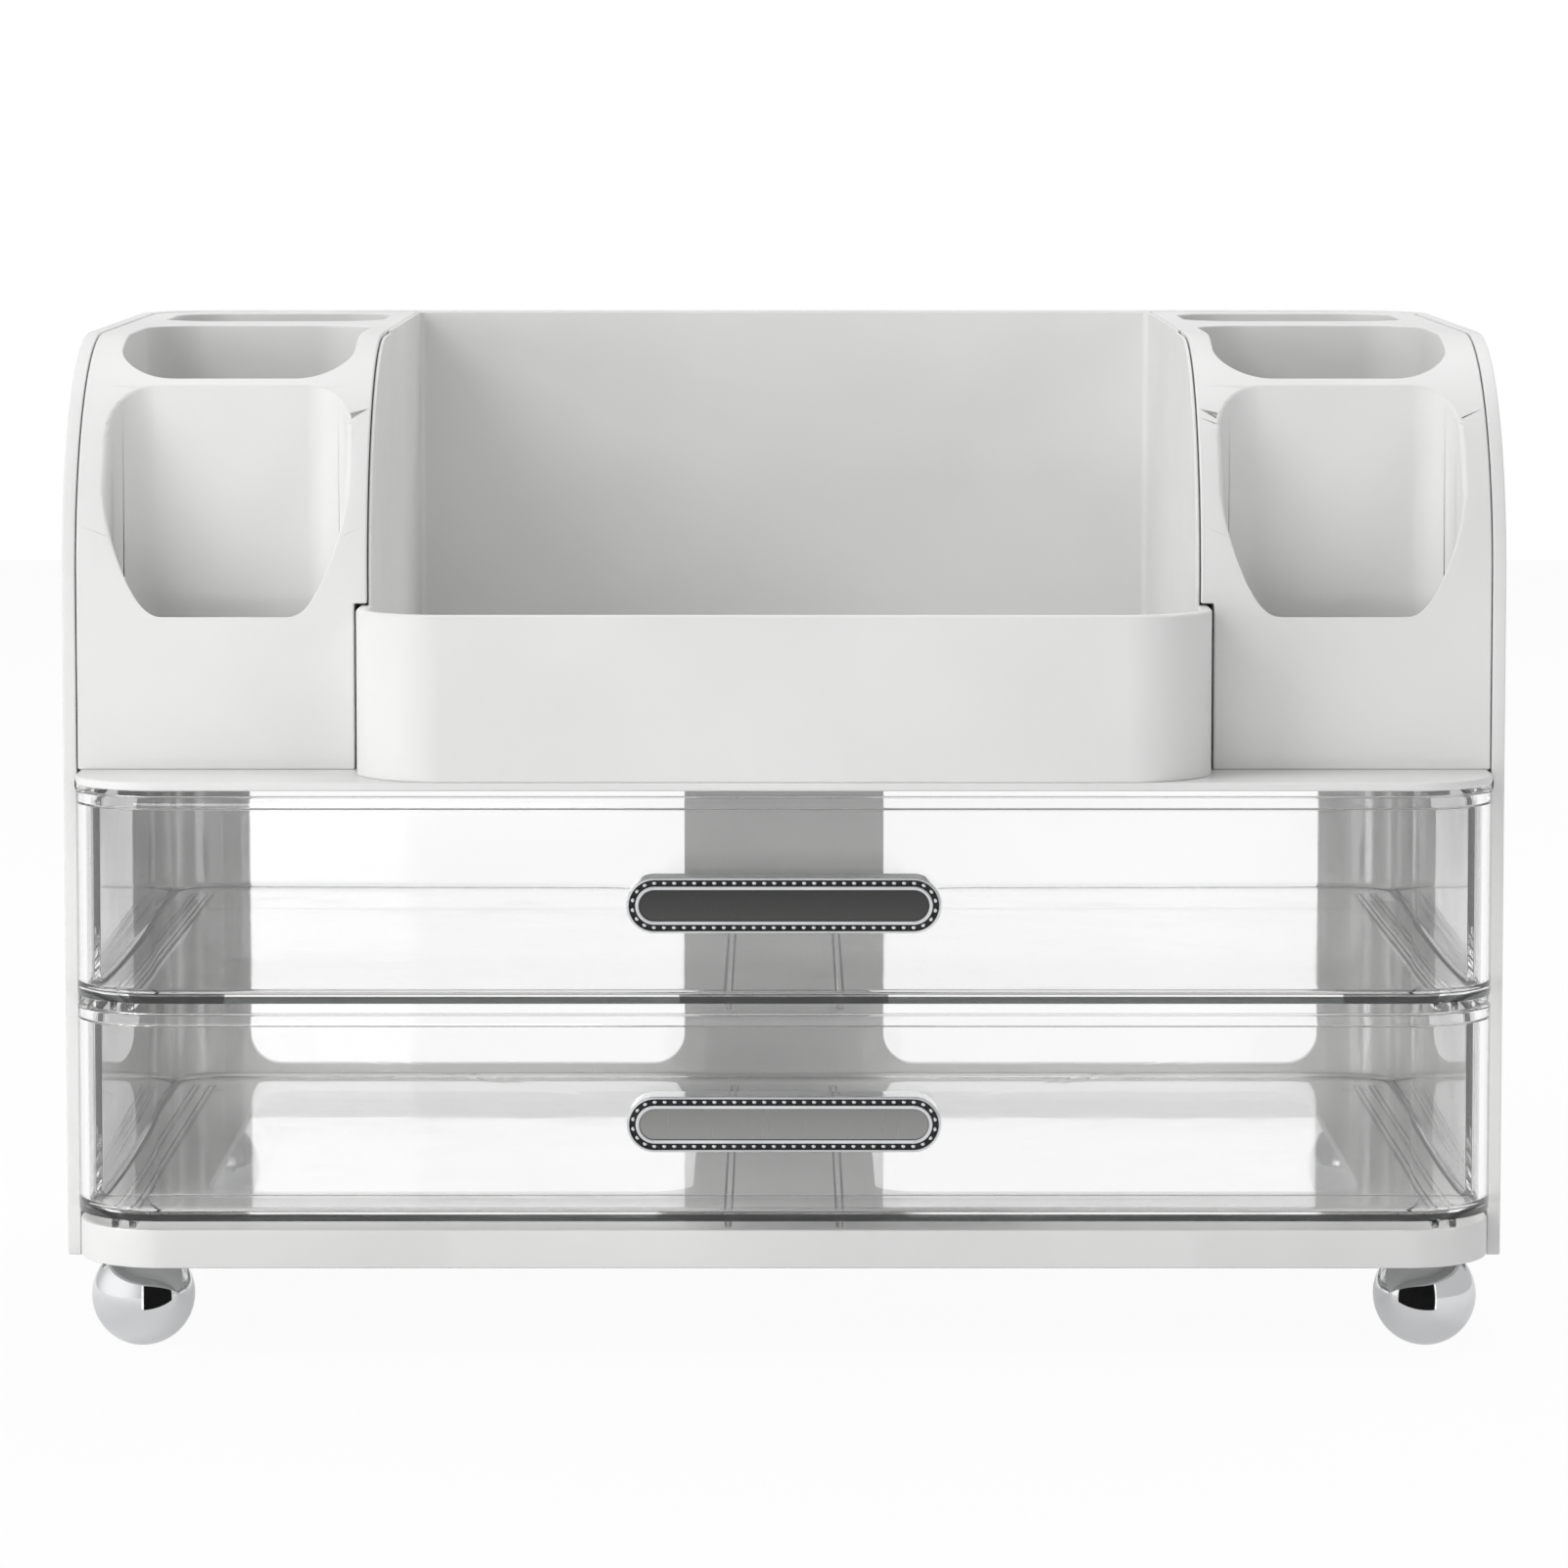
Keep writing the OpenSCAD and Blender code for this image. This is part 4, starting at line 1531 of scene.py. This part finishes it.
@dataclass(frozen=True)
class Card:
    """A glowing card before each front ball that only polished surfaces see: a painted reflection
    in the balls.
    """

    word: str
    y: float
    top: float
    tone: str
    strength: float
    wider: float = 0.0
    foot: float = 0.2
    thick: float = 1.0
    glow_wave: float = 9.0
    uneven: float = 0.5
    # The distances from the middle of the cabinet between which it stands
    spans: ClassVar[dict[Side, tuple[float, float]]] = {
        Side.LEFT: (76.0, 144.0), Side.RIGHT: (93.0, 154.5)}

    def add(self, side: Side) -> None:
        """Stands the card on one side.

        Args:
            side: the side.
        """
        low, high = sorted(side.value * reach for reach in self.spans[side])
        card = add_block(f"{self.word}_{side.word}", Block(
            low - self.wider, high + self.wider, self.y, self.y + self.thick, self.foot, self.top))
        material = new_material(f"{card.name}_card")
        tree = material.node_tree
        # The painted reflection glows unevenly, in soft waves
        level = add_node(tree, "MapRange", {
            "To Min": self.strength * (1.0 - self.uneven),
            "To Max": self.strength * (1.0 + self.uneven),
            "Value": noise(tree, object_place(tree), self.glow_wave)})
        glow = add_node(tree, "Emission", {"Color": linear(self.tone),
                                           "Strength": level.outputs["Result"]})
        show(tree, glow.outputs["Emission"])
        card.data.materials.append(material)
        for ray in ("camera", "diffuse", "transmission", "shadow", "volume_scatter"):
            setattr(card, f"visible_{ray}", False)


@dataclass(frozen=True)
class Studio:
    """A plain white sweep, soft lamps and the camera at the photograph's angle."""

    lamps: tuple[Lamp, ...] = (
        Lamp("key", (-1.25, -0.75, 1.35), (-0.02, 0.0, 0.12), (1.0, 1.0), 13.0),
        Lamp("top", (0.25, 0.7, 1.6), (0.0, 0.0, 0.12), (1.2, 1.2), 17.5),
        Lamp("front", (-0.65, -1.75, 0.40), (0.02, 0.1, 0.08), (0.9, 0.9), 3.2),
        Lamp("side", (-1.25, -0.85, 0.35), (0.0, -0.05, 0.10), (0.7, 0.5), 4.6),
        Lamp("fill", (1.3, -1.0, 0.5), (0.0, 0.0, 0.10), (0.8, 0.8), 3.6),
        Lamp("low", (-0.5, -1.2, 0.04), (0.0, 0.0, 0.12), (0.9, 0.06), 1.0))
    # Painted reflections in the front balls: a dark glowing flag, and a bright glowing trim round
    # it
    cards: tuple[Card, ...] = (Card("flag", -107.0, 31.0, "#262626", 0.5),
                               Card("trim", -108.6, 31.1, "#ffffff", 1.3, wider=2.2))
    floor_half: float = 2.5
    floor_under: float = 0.05
    paper_pale: str = "#e6e6e6"
    paper_deep: str = "#eaeaea"
    paper_wave: float = 6.0
    paper_rough: float = 0.8
    # How much of the table is pure white to the camera, and to polished metal
    white_share: float = 0.95
    shine_share: float = 0.42
    # The room as metal and as dull surfaces see it, and its bright patch
    room: str = "#cfcfcf"
    dull_room: str = "#909091"
    patch: Colour = (1.15, 1.15, 1.15, 1.0)
    patch_way: Spot = (-0.86, -0.45, 0.24)
    patch_from: float = 0.35
    camera_place: Spot = (0.0, -1.35972, 0.27072)
    camera_tilt: float = 85.624
    lens: float = 129.617
    sensor: float = 36.0
    shift_y: float = -0.12
    sight: tuple[float, float] = (0.01, 20.0)

    def build(self) -> None:
        """Makes the floor, the world, the lamps, the cards and the camera."""
        self.add_floor()
        self.light_world()
        for lamp in self.lamps:
            lamp.add()
        for side in Side:
            for card in self.cards:
                card.add(side)
        self.add_camera()

    def seen_plainly(self, tree: Tree) -> Socket:
        """1 for what the camera sees, through clear plastic or not, and 0 for other rays."""
        path = add_node(tree, "LightPath").outputs
        return add_node(tree, "Math", {0: path["Is Camera Ray"], 1: path["Is Transmission Ray"]},
                        operation="MAXIMUM").outputs[0]

    def in_metal(self, tree: Tree) -> Socket:
        """1 for what polished surfaces reflect, and 0 for other rays."""
        return add_node(tree, "LightPath").outputs["Is Glossy Ray"]

    def add_floor(self) -> None:
        """The table: white to the camera, with a soft shadow, and grey in polished metal."""
        bpy.ops.object.select_all(action="DESELECT")
        bpy.ops.mesh.primitive_plane_add(size=2 * self.floor_half,
                                         location=(0.0, 0.0, -self.floor_under * MM))
        floor = settle("table")
        floor.data.materials.append(self.table_finish())

    def table_finish(self) -> bpy.types.Material:
        """White seamless paper: pure white behind the object, its shadow kept.

        Returns:
            The material.
        """
        material = new_material("white_seamless_paper")
        tree = material.node_tree
        grain = noise(tree, object_place(tree), self.paper_wave)
        paper = add_node(tree, "BsdfPrincipled", {
            "Roughness": self.paper_rough,
            "Base Color": blend(tree, grain, linear(self.paper_pale), linear(self.paper_deep))})
        white = add_node(tree, "Emission", {"Color": linear("#ffffff"), "Strength": 1.0})
        plated = add_node(tree, "Math", {0: self.in_metal(tree), 1: self.shine_share},
                          operation="MULTIPLY")
        share = add_node(tree, "Math", {0: self.seen_plainly(tree), 1: self.white_share,
                                        2: plated.outputs[0]}, operation="MULTIPLY_ADD")
        mix = add_node(tree, "MixShader", {0: share.outputs[0], 1: paper.outputs["BSDF"],
                                           2: white.outputs["Emission"]})
        show(tree, mix.outputs["Shader"])
        return material

    def light_world(self) -> None:
        """White to the camera and through clear plastic; in metal a pale room, bright at left."""
        world = bpy.data.worlds.new("studio_room")
        bpy.context.scene.world = world
        world.use_nodes = True
        tree = world.node_tree
        tree.nodes.clear()
        way = add_node(tree, "TexCoord").outputs["Generated"]
        toward = add_node(tree, "VectorMath", {0: way, 1: self.patch_way}, operation="DOT_PRODUCT")
        share = add_node(tree, "MapRange", {
            "From Min": self.patch_from, "From Max": 1.0, "To Min": 0.0, "To Max": 1.0,
            "Value": toward.outputs["Value"]}, interpolation_type="SMOOTHSTEP")
        shining = blend(tree, share.outputs["Result"], linear(self.room), self.patch)
        unseen = blend(tree, self.in_metal(tree), linear(self.dull_room), shining)
        tone = blend(tree, self.seen_plainly(tree), unseen, linear("#ffffff"))
        shine = add_node(tree, "Background", {"Strength": 1.0, "Color": tone})
        add_node(tree, "OutputWorld", {"Surface": shine.outputs["Background"]})

    def add_camera(self) -> None:
        """Adds the camera: straight on, a little above the top, tipped slightly down."""
        bpy.ops.object.select_all(action="DESELECT")
        bpy.ops.object.camera_add(location=self.camera_place,
                                  rotation=(math.radians(self.camera_tilt), 0.0, 0.0))
        camera = bpy.context.active_object
        camera.name = "camera"
        camera.data.sensor_width = self.sensor
        camera.data.lens = self.lens
        camera.data.shift_y = self.shift_y
        camera.data.clip_start, camera.data.clip_end = self.sight
        bpy.context.scene.camera = camera


def set_picture() -> None:
    """Sets the plain view, and enough bounces for the walls of two clear drawers in a row."""
    scene = bpy.context.scene
    scene.view_settings.view_transform = "Standard"
    scene.cycles.max_bounces = 24
    scene.cycles.transmission_bounces = 24
    scene.cycles.glossy_bounces = 12
    scene.cycles.transparent_max_bounces = 16


def main() -> None:
    """Builds the organiser's sub-assemblies in order."""
    logging.basicConfig(level=logging.INFO, format="%(name)s %(message)s")
    set_picture()
    Base().build()
    for side in Side:
        SidePanel(side).build()
        Rail(side).build()
        BrushHolder(side).build()
    BackShell().build()
    Shelf().build()
    Tray().build()
    Drawer(Level.UPPER, 82.301, 46.7).build()
    Drawer(Level.LOWER, 32.801, 47.0).build()
    Handle(Level.UPPER, 105.651, UPPER_STRIP).build()
    Handle(Level.LOWER, 56.301, LOWER_STRIP).build()
    Feet().build()
    Screws().build()
    Studio().build()


if __name__ == "__main__":
    main()
